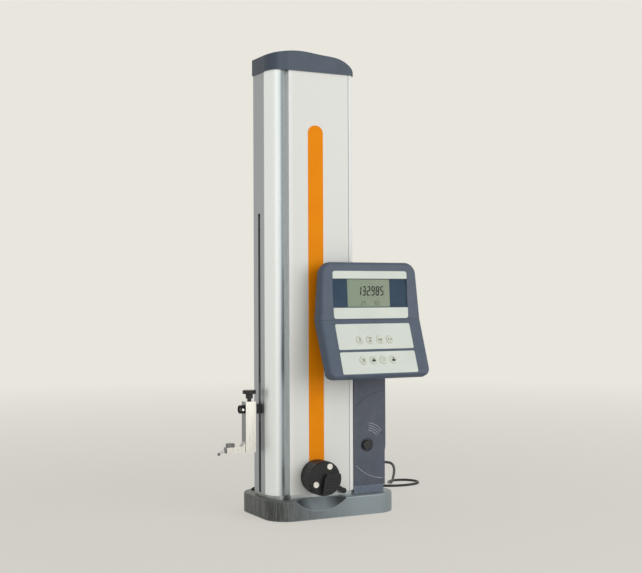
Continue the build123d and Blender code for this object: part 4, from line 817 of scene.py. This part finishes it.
# each symbol is a list of marks: sides, x, y, width, height and turn, in mm and degrees
symbols = [
    [(3, 0, 1.2, 3.4, 2.8, 180), (4, 0, -2.2, 6.0, 0.8, 0), (4, 0, 3.4, 0.8, 1.8, 0)],
    [(4, 0, 2.8, 6.4, 0.8, 0), (4, 0, -2.8, 6.4, 0.8, 0), (4, 0, 0, 0.8, 4.8, 0),
     (3, 0, 1.7, 2.2, 1.5, 0), (3, 0, -1.7, 2.2, 1.5, 180)],
    [(20, -2.0, 0, 2.6, 2.6, 0), (20, 2.0, 0, 2.6, 2.6, 0), (4, 0, -3.0, 5.0, 0.7, 0)],
    [(3, -2.3, 0, 3.0, 2.4, 90), (3, 2.3, 0, 3.0, 2.4, -90)],
    [(4, 0, 0, 7.4, 0.9, 45), (4, 0, 0, 7.4, 0.9, -45)],
    [(24, 0, -1.0, 7.4, 4.4, 0), (4, 0, 2.6, 5.2, 0.9, 0)],
    [(12, -1.8, 1.4, 1.6, 1.6, 0), (12, 1.8, 1.4, 1.6, 1.6, 0), (12, 0, -1.7, 1.6, 1.6, 0)],
    [(24, 0, -1.2, 7.2, 4.2, 0), (3, 0, 2.4, 3.6, 3.0, 0)],
]
upper_row, lower_row, key_rise = -34.3, -68.2, 1.8   # on the key leaf, in mm
for number, symbol in enumerate(symbols, start=1):
    finish(cream_silicone, f"key_{number}")
    key_low, key_high = [Vector(c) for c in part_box(f"key_{number}")]
    across = ((key_low.x + key_high.x) / 2 - seam.x) / MM
    face = on_leaf(keypad_tilt, across, upper_row if number < 5 else lower_row, key_rise)
    bm = bmesh.new()
    for sides, x, y, width, height, turn in symbol:
        mark(bm, face, sides, x, y, width, height, radians(turn))
    new_piece(f"key_symbol_{number}", bm, key_ink, f"push_key_{number}")


# ---- Mains cord
# A round black flexible lead, 1.89 m long, in a smooth PVC jacket. It leaves the housing through
# the tapered strain relief, loops on the table and ends in a neat coil and its moulded plug.
cord_radius = 2.3 * MM
cord_route = [(123, 0, 71), (139, 2.5, 69.5), (153, 14, 63), (167, 33, 53), (180, 55, 41.5),
              (194, 82, 28.5), (209, 110, 17), (222, 137, 9), (234, 163, 4.4), (243, 184, 2.6),
              (260, 195, 2.4), (279.5, 193, 2.5), (293.5, 178.5, 2.4), (295, 158.5, 2.5),
              (283, 142, 2.4), (264, 135.5, 2.5), (243, 135, 2.4), (222, 141, 2.5), (205, 153, 2.4),
              (194.5, 172, 2.5), (187, 195, 2.4), (171, 213, 2.5), (148, 223, 2.4),
              (120, 227.5, 2.5), (92, 227, 2.4), (68, 225, 2.5)]
cord_end = [(29, 172, 6.5), (25.5, 163, 2.8), (22.5, 143, 2.6), (22.5, 124, 3.6), (30, 106, 5.8),
            (52, 95, 8)]
coil_middle, coil_radius = Vector((58, 194, 0)), 26.0
# a tied bundle of seven turns: two on the table, three on them, two on top; how far each turn lies
# outside the coil's radius, and how high
turn_seats = [(2.3, 2.3), (-2.3, 2.3), (-4.6, 6.3), (0, 6.3), (4.6, 6.3), (-2.3, 10.3), (2.3, 10.3)]
turns, steps_per_turn, steps_past = len(turn_seats), 24, 7
coil_points = []
for step in range(turns * steps_per_turn + steps_past):
    turn, part = divmod(step, steps_per_turn)
    seat = Vector(turn_seats[min(turn, turns - 1)])
    following = Vector(turn_seats[min(turn + 1, turns - 1)])
    # the last quarter of each turn climbs to the next seat
    climb = max(0.0, (part - 18) / 6)
    offset, height = seat.lerp(following, climb)
    angle = pi / 2 + 2 * pi * step / steps_per_turn
    coil_points.append(coil_middle + Vector(((coil_radius + offset) * cos(angle),
                                             (coil_radius + offset) * sin(angle), height)))
curve = bpy.data.curves.new("mains_lead", "CURVE")
curve.dimensions = "3D"
line = curve.splines.new("NURBS")
points = [Vector(p) * MM for p in cord_route] + [p * MM for p in coil_points] + [
    Vector(p) * MM for p in cord_end]
line.points.add(len(points) - 1)
for spot, point in zip(line.points, points):
    spot.co = (*point, 1.0)
line.order_u = 3
line.use_endpoint_u = True
line.resolution_u = 6
curve.bevel_depth, curve.bevel_resolution, curve.use_fill_caps = cord_radius, 5, True
# soft PVC is black with a dull gloss and picks up a little dust
pvc_jacket, tree, shader = new_material("black PVC cord jacket", "#1a1a1c", 0.42)
surface(tree, shader, blend(tree, pattern(tree, 12 * MM, detail=5.0), "#161618", "#262629"),
        pattern(tree, 0.9 * MM), 0.02 * MM, pattern(tree, 5 * MM), (0.34, 0.5))
curve.materials.append(pvc_jacket)
cord = bpy.data.objects.new("mains_lead", curve)
bpy.context.scene.collection.objects.link(cord)
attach(cord, "base")
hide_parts("mains_cord", "cord_coil", "cord_tail")


# ---- Strain relief and plug
# The strain relief is a tapered rubber boot, ringed so that it bends evenly. The two-pin plug is
# moulded in one with the cord, and its pins are solid brass.
# moulded rubber is black and dull
soft_rubber, tree, shader = new_material("black moulded rubber", "#1c1c1e", 0.55)
surface(tree, shader, blend(tree, pattern(tree, 6 * MM), "#19191b", "#252528"),
        pattern(tree, 0.8 * MM), 0.02 * MM, rough=(0.5, 0.62))
finish(soft_rubber, "cord_gland")
gland_low, gland_high = [Vector(c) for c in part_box("cord_gland")]
gland_middle = (gland_low + gland_high) / 2
first_ring, ring_pitch, boot_length = 2.5, 3.3, 19   # in mm from the boot's flange, 3 mm thick
bm = bmesh.new()
for ring in range(5):
    # ring after ring the boot tapers from 5.6 to 3 mm in radius
    out = first_ring + ring_pitch * ring
    along = gland_low.x + (3 + out) * MM
    radius = (5.6 - 2.6 * out / boot_length) * MM
    profile = bmesh.ops.create_circle(bm, segments=10, radius=0.8 * MM)["verts"]
    bmesh.ops.translate(bm, verts=profile, vec=(radius, 0, 0))
    bmesh.ops.rotate(bm, verts=profile, cent=(0, 0, 0), matrix=Matrix.Rotation(pi / 2, 3, "X"))
    edges = list({e for v in profile for e in v.link_edges})
    bmesh.ops.spin(bm, geom=profile + edges, cent=(0, 0, 0), axis=(0, 0, 1), angle=2 * pi,
                   steps=36, use_merge=True)
    made = [v for v in bm.verts if not v.tag]
    bmesh.ops.transform(bm, matrix=facing((along, gland_middle.y, gland_middle.z), (1, 0, 0)),
                        verts=made)
    for v in made:
        v.tag = True
bmesh.ops.recalc_face_normals(bm, faces=bm.faces)
boot_rings = new_piece("boot_rings", bm, soft_rubber, "base")

plug_high = Vector(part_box("plug_body")[1])
# the plug's rubber is a little smoother, and its pins are bare yellow metal
plug_skin, tree, shader = new_material("black rubber plug with brass pins", "#1c1c1e", 0.5)
pins = beyond(tree, "X", plug_high.x - 16.9 * MM)
skin = blend(tree, pattern(tree, 6 * MM), "#19191b", "#252528")
skin = blend(tree, pins, skin, "#c9a25a", 0.0, 1.0)
surface(tree, shader, skin, pattern(tree, 0.8 * MM), 0.015 * MM, rough=(0.4, 0.5))
tree.links.new(shader.inputs["Metallic"], pins)
finish(plug_skin, "plug_body")
